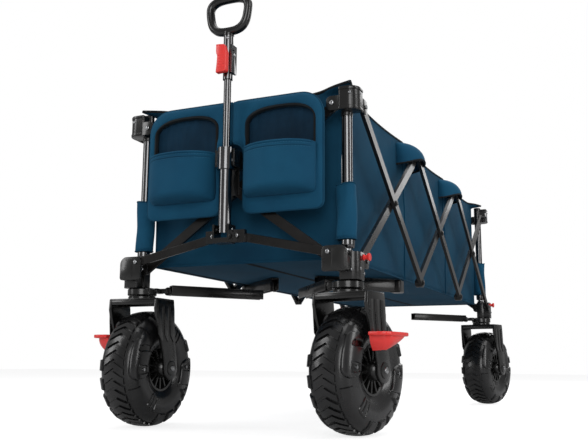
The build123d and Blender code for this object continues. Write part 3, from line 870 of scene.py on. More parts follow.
def addLugs(bm, count, t0, t1, s0, s1, high, shear=0.0, cuts=4, taper=0.14):
    part = bmesh.new()
    bmesh.ops.create_cube(part, size=1.0)
    long = [e for e in part.edges if abs(e.verts[0].co.x - e.verts[1].co.x) > 0.5]
    bmesh.ops.subdivide_edges(part, edges=long, cuts=cuts, use_grid_fill=True)
    for v in part.verts:
        top = v.co.z > 0
        narrow = 1 - taper if top else 1.0
        t = (t0 + t1) / 2 + v.co.x * (t1 - t0) * (narrow if t0 * t1 > 0 else 1 - taper * 0.3 * top)
        s = (s0 + s1) / 2 + v.co.y * (s1 - s0) * narrow + abs(t) * shear
        v.co = onTyre(t, s, high if top else -0.003)
    repeatAround(part, count)
    absorb(bm, part)


def repeatAround(part, count):
    bmesh.ops.spin(part, geom=part.verts[:] + part.edges[:] + part.faces[:], cent=(0, 0, 0),
                   axis=(1, 0, 0), dvec=(0, 0, 0),
                   angle=math.tau * (count - 1) / count, steps=count - 1, use_duplicate=True)


def boxDistance(t, s, ct, cs, ht, hs, r):
    dt, ds = abs(t - ct) - ht + r, abs(s - cs) - hs + r
    return math.hypot(max(dt, 0), max(ds, 0)) + min(max(dt, ds), 0) - r


def scoopHeight(t, s):
    # a raised C-shaped frame with a curved channel above and a square pocket below
    outer = boxDistance(t, s, 0.0610, 0.0, 0.0265, 0.056, 0.022)
    channel = boxDistance(t, s - 0.7 * (t - 0.050), 0.0690, 0.026, 0.0200, 0.0105, 0.010)
    square = boxDistance(t, s, 0.0690, -0.0300, 0.0150, 0.0130, 0.005)
    high = 0.0056 * ease(0.5 - outer / 0.005) - 0.0012
    down = max(ease(0.5 - channel / 0.0030), ease(0.5 - square / 0.0024))
    return high * (1 - down) + 0.0003 * down


def slotHeight(t, s):
    outer = boxDistance(t, s, 0.070, 0.0, 0.0180, 0.0210, 0.008)
    high = 0.0034 * ease(0.5 - outer / 0.004) - 0.0010
    down = max(ease(0.5 - boxDistance(t, s, 0.070, c, 0.0145, 0.0040, 0.0035) / 0.0022)
               for c in (-0.0085, 0.0085))
    return high * (1 - down) + 0.0002 * down


def sidePatch(bm, high, side, halfT=0.025, middleT=0.068, halfS=0.038, grid=40):
    made = bmesh.ops.create_grid(bm, x_segments=grid, y_segments=grid, size=0.5)["verts"]
    heights = {}
    for v in made:
        t, s = middleT + 2 * halfT * v.co.x, 2 * halfS * v.co.y
        heights[v] = high(t, s)
        v.co = onTyre(side * t, s, heights[v])
    # faces lower than the raised relief take the second material, a darker painted shade standing in for
    # shade in the recesses
    for f in {f for v in made for f in v.link_faces}:
        f.material_index = 1 if sum(heights[v] for v in f.verts) / len(f.verts) < 0.0016 else 0
        if side < 0:
            f.normal_flip()
    return made


def makeTyre():
    w = wheelSettings
    bm = bmesh.new()
    outline = [(x, r) for x, r in profile] + [(profile[-1][0] - 0.006, rimRadius + 0.0005)]
    outline += [(-x, r) for x, r in reversed(outline)]
    clean = [outline[0]]
    for point in outline[1:]:
        if math.dist(point, clean[-1]) > 1e-5:
            clean.append(point)
    if math.dist(clean[0], clean[-1]) < 1e-5:
        clean.pop()
    addSpun(bm, clean, steps=144)
    pitch = math.tau * wheelRadius / w["treads"]
    addLugs(bm, w["treads"], -w["treadHalf"], w["treadHalf"], -pitch * 0.36, pitch * 0.36, w["lugHigh"],
            shear=-0.62, cuts=7)
    half = w["tooth"] / 2
    for side in (-1, 1):
        for angle in w["teeth"]:
            shift = math.radians(angle + (90 if side < 0 else 0)) * wheelRadius
            addLugs(bm, 2, side * 0.0285, side * 0.0580, shift - half, shift + half, w["toothHigh"], cuts=6,
                    taper=0.2)
    bmesh.ops.recalc_face_normals(bm, faces=bm.faces)
    for side in (-1, 1):
        part = bmesh.new()
        sidePatch(part, slotHeight, side, halfS=0.024)
        bmesh.ops.rotate(part, verts=part.verts, cent=(0, 0, 0),
                         matrix=Matrix.Rotation(-math.radians(w["slots"]), 3, "X"))
        sidePatch(part, scoopHeight, side, halfT=0.029, middleT=0.060, halfS=0.062, grid=56)
        bolt = onTyre(side * 0.070, -0.030, 0.0002)
        out = onTyre(side * 0.070, -0.030, 0.0036) - bolt
        nut = bmesh.new()
        addRod(nut, bolt - out, bolt + out, 0.0042, 0.0032, segments=14)
        for f in nut.faces:
            f.material_index = 2
        absorb(part, nut)
        if side < 0:
            bmesh.ops.rotate(part, verts=part.verts, cent=(0, 0, 0),
                             matrix=Matrix.Rotation(-math.pi / 2, 3, "X"))
        repeatAround(part, 2)
        absorb(bm, part)
    return bm


def makeRim():
    # dished web with ribs, and a hub that turns on the axle
    low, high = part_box("rim_fl")
    half = (high.x - low.x) / 2
    bm = bmesh.new()
    wall = half - 0.0145
    addSpun(bm, [(-wall, 0.0496), (-wall, 0.045), (-wall + 0.004, 0.0425), (-0.013, 0.039), (-0.012, 0.026),
                 (-half + 0.012, 0.0205), (-half + 0.003, 0.0185), (-half + 0.0006, 0.0165),
                 (-half + 0.0006, 0.0068),
                 (half - 0.0006, 0.0068), (half - 0.0006, 0.0165), (half - 0.003, 0.0185),
                 (half - 0.012, 0.0205),
                 (0.012, 0.026), (0.013, 0.039), (wall - 0.004, 0.0425), (wall, 0.045), (wall, 0.0496)],
                 steps=72)
    for side in (-1, 1):
        part = bmesh.new()
        addBox(part, (min(side * 0.011, side * (wall - 0.002)), -0.0022, 0.0175),
               (max(side * 0.011, side * (wall - 0.002)), 0.0022, 0.0445), bevel=0.0007, segments=1)
        repeatAround(part, 14)
        absorb(bm, part)
    return bm


def legOutline():
    top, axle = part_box("fork_fl")[1].z - 0.022, wheelRadius
    line = [(-0.0335, top), (0.0335, top), (0.0372, top - 0.022), (0.0405, axle + 0.075),
            (0.0480, axle + 0.036),
            (0.0545, axle + 0.012)]
    lobe = [(0.030 + 0.0252 * math.cos(math.radians(a)), axle + 0.0252 * math.sin(math.radians(a)))
            for a in range(14, -176, -10)]
    back = [(0.0050, axle + 0.012), (-0.0040, axle + 0.040), (-0.0190, axle + 0.078),
            (-0.0300, axle + 0.108),
            (-0.0350, top - 0.022)]
    return line + lobe + back


forkSettings = {"leg": 0.008, "bevel": 0.0022, "rib": 0.0018}


def makeFork():
    # drawn about the swivel axis
    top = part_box("fork_fl")[1].z
    puckTop = top - 0.014
    inner = wheelHalf + 0.0025
    outer = inner + forkSettings["leg"]
    bm = bmesh.new()
    turn = Matrix(((0, 0, 1, 0), (1, 0, 0, 0), (0, 1, 0, 0), (0, 0, 0, 1)))
    for s in (-1, 1):
        x = inner if s > 0 else -outer
        addPlate(bm, legOutline(), forkSettings["leg"], Matrix.Translation((x, 0, 0)) @ turn,
                 forkSettings["bevel"])
        # three upright strips that fade out above the lobe
        for k, y in enumerate((-0.0235, -0.0005, 0.0225)):
            face = s * outer
            strip = [(y - 0.0068, puckTop - 0.022), (y + 0.0068, puckTop - 0.022),
                     (y + 0.0085, puckTop - 0.060),
                     (y + 0.0165 - 0.002 * k, wheelRadius + 0.062), (y + 0.0120, wheelRadius + 0.056),
                     (y - 0.0015, wheelRadius + 0.072), (y - 0.0045, puckTop - 0.055)]
            x = face - 0.0004 if s > 0 else face - forkSettings["rib"] + 0.0004
            addPlate(bm, strip, forkSettings["rib"], Matrix.Translation((x, 0, 0)) @ turn, 0.0007)
        addSpun(bm, [(s * (outer - 0.001), 0.0), (s * (outer - 0.001), 0.0165),
                     (s * (outer + 0.0022), 0.0158),
                     (s * (outer + 0.0030), 0.0135), (s * (outer + 0.0030), 0.0)],
                Matrix.Translation((0, 0.030, wheelRadius)), steps=32, closed=False)
    # bridge: a shallow channel over the wheel, with rounded shoulders onto the legs
    addBox(bm, (-outer, -0.0335, puckTop - 0.0125), (outer, 0.0335, puckTop - 0.0065), bevel=0.0022)
    for y in (-1, 1):
        addBox(bm, (-outer + 0.001, min(y * 0.0335, y * 0.0285), puckTop - 0.0200),
               (outer - 0.001, max(y * 0.0335, y * 0.0285), puckTop - 0.0075), bevel=0.0016)
    addSpun(bm, [(puckTop - 0.0105, 0.0), (puckTop - 0.0105, 0.0300), (puckTop - 0.0020, 0.0300),
                 (puckTop - 0.0002, 0.0282), (puckTop - 0.0002, 0.0)],
            Matrix.Rotation(-math.pi / 2, 4, "Y"), steps=48, closed=False)
    addRod(bm, (0, 0, puckTop - 0.001), (0, 0, top), 0.0079, bevel=0.001)
    return bm


def makeForkBolts():
    outer = wheelHalf + 0.0025 + forkSettings["leg"]
    bm = bmesh.new()
    for s in (-1, 1):
        place = Matrix.Translation((0, 0.030, wheelRadius))
        addSpun(bm, [(s * (outer + 0.0028), 0.0), (s * (outer + 0.0028), 0.0066),
                     (s * (outer + 0.0050), 0.0062),
                     (s * (outer + 0.0060), 0.0040), (s * (outer + 0.0060), 0.0)], place, steps=24,
                     closed=False)
    return bm


pedalSettings = {"thick": 0.0072, "bevel": 0.0018}


def makePedal(side):
    # wide lip with a rounded outer end, over a scooped body that tapers back
    outer = wheelHalf + 0.0025 + forkSettings["leg"] + 0.0008
    zTop = wheelRadius + 0.072
    bm = bmesh.new()
    far = outer + 0.0430
    lip = [(outer, -0.0360), (far - 0.016, -0.0365), (far - 0.006, -0.0325), (far - 0.0008, -0.0220),
           (far, 0.0),
           (far, 0.034), (far - 0.0020, 0.0500), (far - 0.0090, 0.0605), (far - 0.020, 0.0660),
           (far - 0.032, 0.0675),
           (outer, 0.0660)]
    lip = [(side * x, y) for x, y in lip]
    addPlate(bm, lip, pedalSettings["thick"], Matrix.Translation((0, 0, zTop - pedalSettings["thick"])),
             pedalSettings["bevel"])
    # body: stacked outlines joined into one shallow scoop that tapers to the back
    rings = []
    for k in range(7):
        t = k / 6
        z = zTop - pedalSettings["thick"] + 0.001
        front = -0.0300 + 0.012 * t ** 2.0
        back = 0.0620 - 0.022 * t ** 0.8
        reach = outer + 0.0400 * (1 - 0.30 * t ** 2.2)
        ring = []
        for i in range(22):
            a = i / 21
            y = front + (back - front) * a
            x = outer + (reach - outer) * max(0.0, 1 - abs(2 * a - 1) ** 4.0) ** 0.5
            deep = 0.0290 * t * (1 - 0.62 * a)
            ring.append(bm.verts.new((side * x, y, z - deep)))
        rings.append(ring)
    loops = [[bm.edges.new((a, b)) for a, b in zip(r, r[1:] + r[:1])] for r in rings]
    for a, b in zip(loops, loops[1:]):
        bmesh.ops.bridge_loops(bm, edges=a + b)
    bmesh.ops.holes_fill(bm, edges=loops[0] + loops[-1], sides=0)
    # pivot boss round the pin
    y0, z0 = 0.016, wheelRadius + 0.048
    x0, x1 = sorted((side * outer, side * (outer + 0.011)))
    addRod(bm, (x0, y0, z0), (x1, y0, z0), 0.0095, segments=28, bevel=0.0012)
    bmesh.ops.remove_doubles(bm, verts=bm.verts, dist=2e-5)
    return bm


casterNames = ("fl", "fr", "rl", "rr")
tyreMesh, rimMesh = makeTyre(), makeRim()
for corner in casterNames:
    spin = jointByName["wheel_%s_spin" % corner]
    swivel = Vector(jointByName["swivel_" + corner]["pos_m"])
    yaw = math.atan2(spin["axis"][1], spin["axis"][0])
    spot = Matrix.Translation(Vector((swivel.x, swivel.y, 0))) @ Matrix.Rotation(yaw, 4, "Z")
    atAxle = Matrix.Translation(Vector(spin["pos_m"])) @ Matrix.Rotation(yaw, 4, "Z")
    atAxle = atAxle @ Matrix.Rotation(math.radians({"fl": 78, "fr": 72, "rl": 40, "rr": 66}[corner]), 4,
                                      "X")
    for source, name, materials, slotName in (
            (tyreMesh, "tyre_", [tyrePlastic, tyreRecessShade, boltSteel], "tyre"),
            (rimMesh, "rim_", [nylonBlack], "hub_plastic")):
        bm = source.copy()
        bmesh.ops.transform(bm, matrix=atAxle, verts=bm.verts)
        piece = finishPiece(bm, name + corner + "_made", materials, "wheel_" + corner,
                            [name + corner],
                            degrees=32, recalc=name == "rim_")
    side = -1 if corner[1] == "l" else 1
    bm = makeFork()
    bmesh.ops.transform(bm, matrix=spot, verts=bm.verts)
    finishPiece(bm, "fork_" + corner + "_made", nylonBlack, "fork_" + corner,
                ["fork_" + corner])
    bm = makeForkBolts()
    bmesh.ops.transform(bm, matrix=spot, verts=bm.verts)
    finishPiece(bm, "axle_bolts_" + corner, boltSteel, "fork_" + corner)
    if corner[0] == "f":
        bm = makePedal(side)
        bmesh.ops.transform(bm, matrix=spot, verts=bm.verts)
        finishPiece(bm, "pedal_" + corner, absRed, "brake_" + corner, ["brake_" + corner],
                    degrees=40)
tyreMesh.free()
rimMesh.free()
print("casters made")


# handle
handleAxis = Vector(jointByName["handle_tilt"]["pos_m"])
gripSettings = {"bar": 0.0090, "foot": 0.78, "square": 0.66, "deep": 1.25}
ringLow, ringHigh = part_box("grip")
ringFoot, ringTop = ringLow.z, ringHigh.z
line = []
for i in range(44):
    a = math.tau * i / 44 - math.pi / 2
    across = math.copysign(abs(math.cos(a)) ** gripSettings["square"], math.cos(a))
    up = (1 + math.copysign(abs(math.sin(a)) ** gripSettings["square"], math.sin(a))) / 2
    half = (ringHigh.x - ringLow.x) / 2 - gripSettings["bar"]
    x = half * across * (gripSettings["foot"] + (1 - gripSettings["foot"]) * up)
    z = ringFoot + gripSettings["bar"] + (ringTop - ringFoot - 2 * gripSettings["bar"]) * up
    line.append((x, handleAxis.y, z))
bm = tubeMesh("grip_loop", line, gripSettings["bar"], cyclic=True, resolution=4)
for v in bm.verts:
    # a little deeper front to back than it is thick
    v.co.y = handleAxis.y + (v.co.y - handleAxis.y) * gripSettings["deep"]
addRod(bm, (0, handleAxis.y, ringFoot - 0.002), (0, handleAxis.y, ringFoot + 0.010), 0.0122, 0.0105,
       bevel=0.002)
finishPiece(bm, "grip_ring", gripRubber, "handle_stem", ["grip"], degrees=50)
latchLow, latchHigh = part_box("latch")
bm = bmesh.new()
# squeeze lever: slightly flared at its foot, ribbed on its face
outline = [(latchLow.x, latchLow.z), (latchHigh.x - 0.003, latchLow.z + 0.001),
           (latchHigh.x - 0.0005, latchLow.z + 0.004), (latchHigh.x, latchHigh.z - 0.020),
           (latchHigh.x - 0.003, latchHigh.z - 0.012), (latchHigh.x - 0.006, latchHigh.z - 0.002),
           (latchLow.x + 0.005, latchHigh.z), (latchLow.x + 0.0005, latchHigh.z - 0.006),
           (latchLow.x + 0.0005, latchHigh.z - 0.020), (latchLow.x + 0.003, latchHigh.z - 0.026),
           (latchLow.x + 0.002, latchLow.z + 0.020)]
stand = Matrix(((1, 0, 0, 0), (0, 0, -1, 0), (0, 1, 0, 0), (0, 0, 0, 1)))
addPlate(bm, outline, 0.0135, Matrix.Translation((0, latchLow.y + 0.0135 + 0.0005, 0)) @ stand, 0.0022)
earZ = latchHigh.z - 0.018
addBox(bm, (latchLow.x, latchLow.y + 0.001, earZ), (latchLow.x + 0.0042, latchHigh.y, latchHigh.z),
       bevel=0.0014)
for k in range(5):
    z = latchLow.z + 0.010 + 0.0065 * k
    addBox(bm, (latchLow.x + 0.005, latchLow.y - 0.0002, z),
           (latchHigh.x - 0.004, latchLow.y + 0.0014, z + 0.0026),
           bevel=0.0006, segments=1)
finishPiece(bm, "latch_lever", absRed, "latch", ["latch"])


# corner castings and post tubes
castingSettings = {"round": 0.021, "bevel": 0.0016, "ear": 0.0025, "earRound": 0.010, "earHalf": 0.015}
tubeR, linerR, bushR = 0.011, 0.008, 0.014
plateIn, plateOut = 0.0305, 0.0330


def roundedOutline(low, high, radii, steps=6):
    # radii in the order low-low, high-low, high-high, low-high
    (x0, y0), (x1, y1) = low, high
    line = []
    for (cx, cy, r, start) in ((x0 + radii[0], y0 + radii[0], radii[0], 180),
                               (x1 - radii[1], y0 + radii[1], radii[1], 270),
                               (x1 - radii[2], y1 - radii[2], radii[2], 0),
                               (x0 + radii[3], y1 - radii[3], radii[3], 90)):
        line += arc(cx, cy, r, start, start + 90, steps)
    return line


# uzPlane takes an outline in u and z that grows out in v; vzPlane one in v and z that grows out in u
uzPlane = Matrix(((1, 0, 0, 0), (0, 0, 1, 0), (0, 1, 0, 0), (0, 0, 0, 1)))
vzPlane = Matrix(((0, 0, 1, 0), (1, 0, 0, 0), (0, 1, 0, 0), (0, 0, 0, 1)))


def addEars(bm, z):
    c = castingSettings
    outline = roundedOutline((-0.0330, z - c["earHalf"]), (-0.0060, z + c["earHalf"]),
                             (c["earRound"], 0.001, 0.001, c["earRound"]))
    addPlate(bm, outline, c["ear"], Matrix.Translation((0, plateIn, 0)) @ uzPlane, 0.0006)
    addPlate(bm, outline, c["ear"], Matrix.Translation((plateIn, 0, 0)) @ vzPlane, 0.0006)
    addRod(bm, (-0.020, 0.0116, z), (-0.020, 0.0355, z), 0.0039, segments=20)
    addRod(bm, (0.0116, -0.020, z), (0.0355, -0.020, z), 0.0039, segments=20)


def makePost(z0, z1, pivotZ):
    # casting, then the tube and its bushing as the second finish
    c = castingSettings
    bm = bmesh.new()
    outline = roundedOutline((-0.007, -0.007), (plateOut, plateOut), (0.003, 0.004, c["round"], 0.004), 8)
    addPlate(bm, outline, 0.048, Matrix.Translation((0, 0, pivotZ - 0.015)), c["bevel"])
    band = roundedOutline((-0.0075, -0.0075), (plateOut + 0.0010, plateOut + 0.0010),
                          (0.003, 0.004, c["round"] + 0.0005, 0.004), 8)
    for z in (pivotZ - 0.0135, pivotZ + 0.0265):
        addPlate(bm, band, 0.0050, Matrix.Translation((0, 0, z)), 0.0010)
    addRod(bm, (0, 0, pivotZ - 0.022), (0, 0, z1 - 0.0006), 0.0120, segments=40, bevel=0.001)
    addEars(bm, pivotZ)
    tube = bmesh.new()
    upright = Matrix.Rotation(-math.pi / 2, 4, "Y")
    addSpun(tube, [(z1 - 0.006, 0.0), (z1 - 0.006, tubeR - 0.0015), (z0 + 0.004, tubeR - 0.0015),
                   (z0 + 0.004, tubeR),
                   (z1 - 0.001, tubeR), (z1, tubeR - 0.001), (z1, 0.0)], upright, steps=48, closed=False)
    addSpun(tube, [(z0, linerR + 0.0002), (z0, bushR - 0.0022), (z0 + 0.002, bushR - 0.0006),
                   (z0 + 0.0085, bushR),
                   (z0 + 0.0165, bushR), (z0 + 0.018, bushR - 0.0012), (z0 + 0.018, tubeR + 0.0001),
                   (z0 + 0.004, tubeR + 0.0001), (z0 + 0.004, linerR + 0.0002)], upright, steps=48)
    for f in tube.faces:
        f.material_index = 1
    absorb(bm, tube)
    return bm


def makeBase(z0, pivotZ, linerTop, front):
    c = castingSettings
    bm = bmesh.new()
    outline = roundedOutline((-0.007, -0.007), (plateOut, plateOut), (0.003, 0.004, 0.016, 0.004), 8)
    addPlate(bm, outline, pivotZ + 0.015 - (z0 + 0.016), Matrix.Translation((0, 0, z0 + 0.016)), c["bevel"])
    addBox(bm, (-0.012, -0.012, z0 + 0.010), (0.012, 0.012, pivotZ + 0.0152), bevel=0.0016)
    upright = Matrix.Rotation(-math.pi / 2, 4, "Y")
    addSpun(bm, [(z0, 0.0082), (z0, 0.0300), (z0 + 0.0016, 0.0318), (z0 + 0.0130, 0.0318),
                 (z0 + 0.0165, 0.0270),
                 (z0 + 0.0170, 0.0082)], upright, steps=56)
    addRod(bm, (0, 0, pivotZ + 0.014), (0, 0, pivotZ + 0.0210), 0.0118, 0.0104, segments=40, bevel=0.001)
    addEars(bm, pivotZ)
    for low, high in (((-0.034, -0.034), (-0.020, -0.020)), ((-0.034, -0.020), (-0.007, -0.007)),
                      ((-0.052, -0.026), (-0.030, -0.020))):
        addBox(bm, (*low, z0 + 0.006), (*high, z0 + 0.0168), bevel=0.0014)
    addRod(bm, (-0.048, -0.024, z0 + 0.011), (-0.048, -0.044, z0 + 0.011), 0.0039, segments=20)
    if front:
        reach = front - 0.003
        cheek = roundedOutline((-0.033, pivotZ - 0.025), (0.020, pivotZ + 0.025),
                               (0.005, 0.006, 0.016, 0.010), 8)
        addPlate(bm, cheek, 0.0046, Matrix.Translation((0, reach - 0.0016, 0)) @ uzPlane, 0.0015)
        body = roundedOutline((-0.007, pivotZ - 0.025), (0.0195, pivotZ + 0.0105),
                              (0.004, 0.005, 0.012, 0.004), 8)
        addPlate(bm, body, reach - 0.030, Matrix.Translation((0, 0.030, 0)) @ uzPlane, 0.0012)
        # a raised frame on the cheek's face
        inner = roundedOutline((-0.012, pivotZ - 0.020), (0.0165, pivotZ + 0.020),
                               (0.003, 0.004, 0.012, 0.003), 8)
        addPlate(bm, inner, 0.0012, Matrix.Translation((0, reach + 0.0026, 0)) @ uzPlane, 0.0005)
        addRod(bm, (-0.020, reach - 0.010, pivotZ + 0.013), (-0.020, reach + 0.0040, pivotZ + 0.013),
               0.0039, segments=20)
    liner = bmesh.new()
    addSpun(liner, [(pivotZ + 0.015, 0.0), (pivotZ + 0.015, linerR), (linerTop - 0.001, linerR),
                    (linerTop, linerR - 0.001),
                    (linerTop, 0.0)], upright, steps=40, closed=False)
    for f in liner.faces:
        f.material_index = 1
    absorb(bm, liner)
    # pull pin: necked stem and flared head
    pin = bmesh.new()
    addSpun(pin, [(plateOut - 0.001, 0.0), (plateOut - 0.001, 0.0062), (plateOut + 0.0012, 0.0066),
                  (plateOut + 0.0020, 0.0048),
                  (plateOut + 0.0070, 0.0046), (plateOut + 0.0085, 0.0068), (plateOut + 0.0105, 0.0079),
                  (plateOut + 0.0128, 0.0079), (plateOut + 0.0138, 0.0070), (plateOut + 0.0138, 0.0)],
            Matrix.Translation((0, 0, pivotZ + 0.006)), steps=32, closed=False)
    for f in pin.faces:
        f.material_index = 2
    absorb(bm, pin)
    return bm


for corner in casterNames:
    swivel = Vector(jointByName["swivel_" + corner]["pos_m"])
    sx = 1 if swivel.x > 0 else -1
    sy = 1 if corner[0] == "r" else -1
    mirror = Matrix.Translation((swivel.x, swivel.y, 0)) @ Matrix.Diagonal((sx, sy, 1, 1))
    postLow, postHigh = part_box("post_" + corner)
    bm = makePost(postLow.z, postHigh.z, jointByName["post_%s_hinge" % corner]["pos_m"][2])
    bmesh.ops.transform(bm, matrix=mirror, verts=bm.verts)
    finishPiece(bm, "post_%s_made" % corner, [nylonBlack, glossCoat], "post_" + corner,
                ["post_" + corner])
    baseLow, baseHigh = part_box("base_" + corner)
    front = abs(baseLow.y - swivel.y) - 0.003 if corner[0] == "f" else 0
    bm = makeBase(baseLow.z, jointByName["base_%s_hinge" % corner]["pos_m"][2], baseHigh.z, front)
    bmesh.ops.transform(bm, matrix=mirror, verts=bm.verts)
    finishPiece(bm, "base_%s_made" % corner, [nylonBlack, zincSteel, absRed], "base_" + corner,
                ["base_" + corner])
print("castings made")


# arms under the floor
armSettings = {"wide": 0.021, "tall": 0.030, "lip": 0.003}


def addArm(bm, start, end, low, high, wide):
    # pressed channel: a flat top with a rolled flange each side
    start, end = Vector(start), Vector(end)
    run = (end - start).length
    turn = Matrix.Translation((*start, 0)) @ Matrix.Rotation(math.atan2(end.y - start.y, end.x - start.x),
                                                             4, "Z")
    addBox(bm, (0, -wide / 2, high - 0.0032), (run, wide / 2, high), turn, 0.0012)
    for s in (-1, 1):
        y0, y1 = sorted((s * wide / 2, s * (wide / 2 - armSettings["lip"])))
        addBox(bm, (0, y0, low), (run, y1, high - 0.001), turn, 0.0010)
    for k in range(1, 4):
        addBox(bm, (run * k / 4 - 0.002, -wide / 2 + 0.001, low + 0.004),
               (run * k / 4 + 0.002, wide / 2 - 0.001, high - 0.002),
               turn, 0.0006, 1)


for corner in casterNames:
    swivel = Vector(jointByName["swivel_" + corner]["pos_m"])
    sx = 1 if swivel.x > 0 else -1
    sy = 1 if corner[0] == "r" else -1
    hinge = Vector(jointByName["arm_%s_hinge" % corner]["pos_m"])
    bm = bmesh.new()
    addArm(bm, (hinge.x - sx * 0.004, hinge.y),
           (swivel.x - sx * (halfWidth - 0.053), swivel.y - sy * (halfWidth - 0.029)),
           hinge.z - 0.0085, hinge.z + 0.0135, armSettings["wide"])
    addRod(bm, (hinge.x, hinge.y - 0.007, hinge.z), (hinge.x, hinge.y + 0.007, hinge.z), 0.0092,
           segments=28, bevel=0.001)
    finishPiece(bm, "floor_arm_%s_made" % corner, satinCoat, "arm_" + corner,
                ["floor_arm_" + corner])
for side, sx in (("l", -1), ("r", 1)):
    node = "floor_arm_m" + side
    bm = bmesh.new()
    middleY = frontY + pivotIn + barPitch / 2
    farY = middleY + barPitch / 2 - 0.012
    topZ = wallFootZ - 0.0016
    addArm(bm, (sx * 0.055, middleY + 0.048), (sx * (faceX - 0.0085), farY), topZ - armSettings["tall"],
           topZ,
           armSettings["wide"])
    cx0, cx1 = sorted((sx * (halfWidth - 0.048), sx * (halfWidth - 0.020)))
    addBox(bm, (cx0, farY - 0.022, topZ - armSettings["tall"] - 0.002),
           (cx1, farY + 0.016, topZ - 0.0004), bevel=0.0034,
           segments=3)
    # two small tabs hang where the inner end is hinged
    for k in (-1, 1):
        addBox(bm, (sx * 0.060 - 0.005, middleY + 0.050 + k * 0.008 - 0.002, topZ - 0.034),
               (sx * 0.060 + 0.005, middleY + 0.050 + k * 0.008 + 0.002, topZ - 0.010), bevel=0.0016)
    finishPiece(bm, node + "_made", satinCoat, "floor_" + side, [node])
print("arms made")


# rivets
rivetSettings = {"head": 0.0046, "dome": 0.0016}


def addRivet(bm, place, outward, radius=None, dome=None):
    radius = radius or rivetSettings["head"]
    dome = dome or rivetSettings["dome"]
    turn = Vector(outward).to_track_quat("X", "Z").to_matrix().to_4x4()
    addSpun(bm, [(-0.0012, 0.0), (-0.0012, radius), (dome * 0.25, radius), (dome * 0.75, radius * 0.78),
                 (dome, radius * 0.42), (dome, 0.0)], Matrix.Translation(place) @ turn, steps=20,
                 closed=False)


def rivetPiece(name, body, places, material=zincSteel):
    bm = bmesh.new()
    for place, outward, radius in places:
        addRivet(bm, Vector(place), outward, radius)
    finishPiece(bm, name, material, body)


for corner in casterNames:
    swivel = Vector(jointByName["swivel_" + corner]["pos_m"])
    sx = 1 if swivel.x > 0 else -1
    sy = 1 if corner[0] == "r" else -1
    topZ = jointByName["post_%s_hinge" % corner]["pos_m"][2]
    baseZ = jointByName["base_%s_hinge" % corner]["pos_m"][2]
    away = 0.0360
    rivetPiece("post_rivets_" + corner, "post_" + corner, [
        ((swivel.x - sx * 0.020, swivel.y + sy * away, topZ), (0, sy, 0), 0.0046),
        ((swivel.x + sx * away, swivel.y - sy * 0.020, topZ), (sx, 0, 0), 0.0046),
        ((swivel.x + sx * 0.018, swivel.y + sy * 0.0330, topZ + 0.018), (0, sy, 0), 0.0032),
        ((swivel.x + sx * 0.0330, swivel.y + sy * 0.012, topZ + 0.020), (sx, 0, 0), 0.0032)])
    places = [((swivel.x - sx * 0.020, swivel.y + sy * away, baseZ), (0, sy, 0), 0.0046),
              ((swivel.x + sx * away, swivel.y - sy * 0.020, baseZ), (sx, 0, 0), 0.0046),
              ((swivel.x + sx * 0.0330, swivel.y + sy * 0.018, baseZ - 0.018), (sx, 0, 0), 0.0032),
              ((swivel.x + sx * 0.0330, swivel.y - sy * 0.002, baseZ - 0.026), (sx, 0, 0), 0.0032),
              ((swivel.x + sx * 0.018, swivel.y + sy * 0.0330, baseZ - 0.020), (0, sy, 0), 0.0032)]
    if corner[0] == "f":
        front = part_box("base_" + corner)[0].y
        places.append(((swivel.x - sx * 0.020, front + 0.0004,
                        jointByName["link_%s_hinge" % corner[1]]["pos_m"][2]),
                       (0, -1, 0), 0.0044))
    rivetPiece("base_rivets_" + corner, "base_" + corner, places)
pinZ = (jointByName["link_l_hinge"]["pos_m"][2]) + 0.042
rivetPiece("hub_rivets", "hub", [((s * 0.028, handleAxis.y - 0.0008, pinZ), (0, -1, 0),
                                  0.0042) for s in (-1, 1)]
           + [((s * (0.0188), handleAxis.y, handleAxis.z), (s, 0, 0), 0.0044) for s in (-1, 1)])
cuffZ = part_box("handle_outer")[1].z - 0.023
rivetPiece("cuff_rivet", "handle_outer", [((0.0178, handleAxis.y - 0.0030, cuffZ - 0.004), (1, -0.12, 0),
                                           0.0040)],
           boltSteel)
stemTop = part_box("handle_stem")[1].z
rivetPiece("socket_rivets", "handle_stem", [((0.0150, handleAxis.y - 0.001, stemTop - 0.050), (1, 0, 0),
                                             0.0036),
                                            ((0.0032, handleAxis.y - 0.0104, stemTop - 0.012),
                                             (0.3, -1, 0), 0.0034)],
           boltSteel)
for side, sx in (("l", -1), ("r", 1)):
    for letter, nodes in (("b", ((0.5, 0), (1, 1))), ("d", ((1.5, 0), (1, -1), (2, 1))),
                          ("f", ((2.5, 0), (2, -1)))):
        bar = "bar_%s_%s" % (side, letter)
        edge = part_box(bar)
        x = edge[1].x if sx > 0 else edge[0].x
        midZ = (barStart.z + barEnd.z) / 2
        rivetPiece(bar + "_rivets", bar, [
            ((x - sx * 0.0002, frontY + pivotIn + barPitch * n, midZ + up * barRise / 2), (sx, 0, 0),
             0.0052)
            for n, up in nodes], satinCoat)
print("trims made")


# camera, light and floor
viewSettings = {"place": (0.76839, -2.15838, 0.13925), "pitch": 10.333, "yaw": 24.059, "roll": 0.3526,
                "lens": 47.645}
cameraData = bpy.data.cameras.new("camera")
cameraData.lens = viewSettings["lens"]
cameraData.sensor_width = 36
cameraData.clip_end = 60
camera = bpy.data.objects.new("camera", cameraData)
bpy.context.scene.collection.objects.link(camera)
camera.matrix_world = (Matrix.Translation(viewSettings["place"])
                       @ Matrix.Rotation(math.radians(viewSettings["yaw"]), 4, "Z")
                       @ Matrix.Rotation(math.radians(90 + viewSettings["pitch"]), 4, "X")
                       @ Matrix.Rotation(math.radians(viewSettings["roll"]), 4, "Z"))
bpy.context.scene.camera = camera

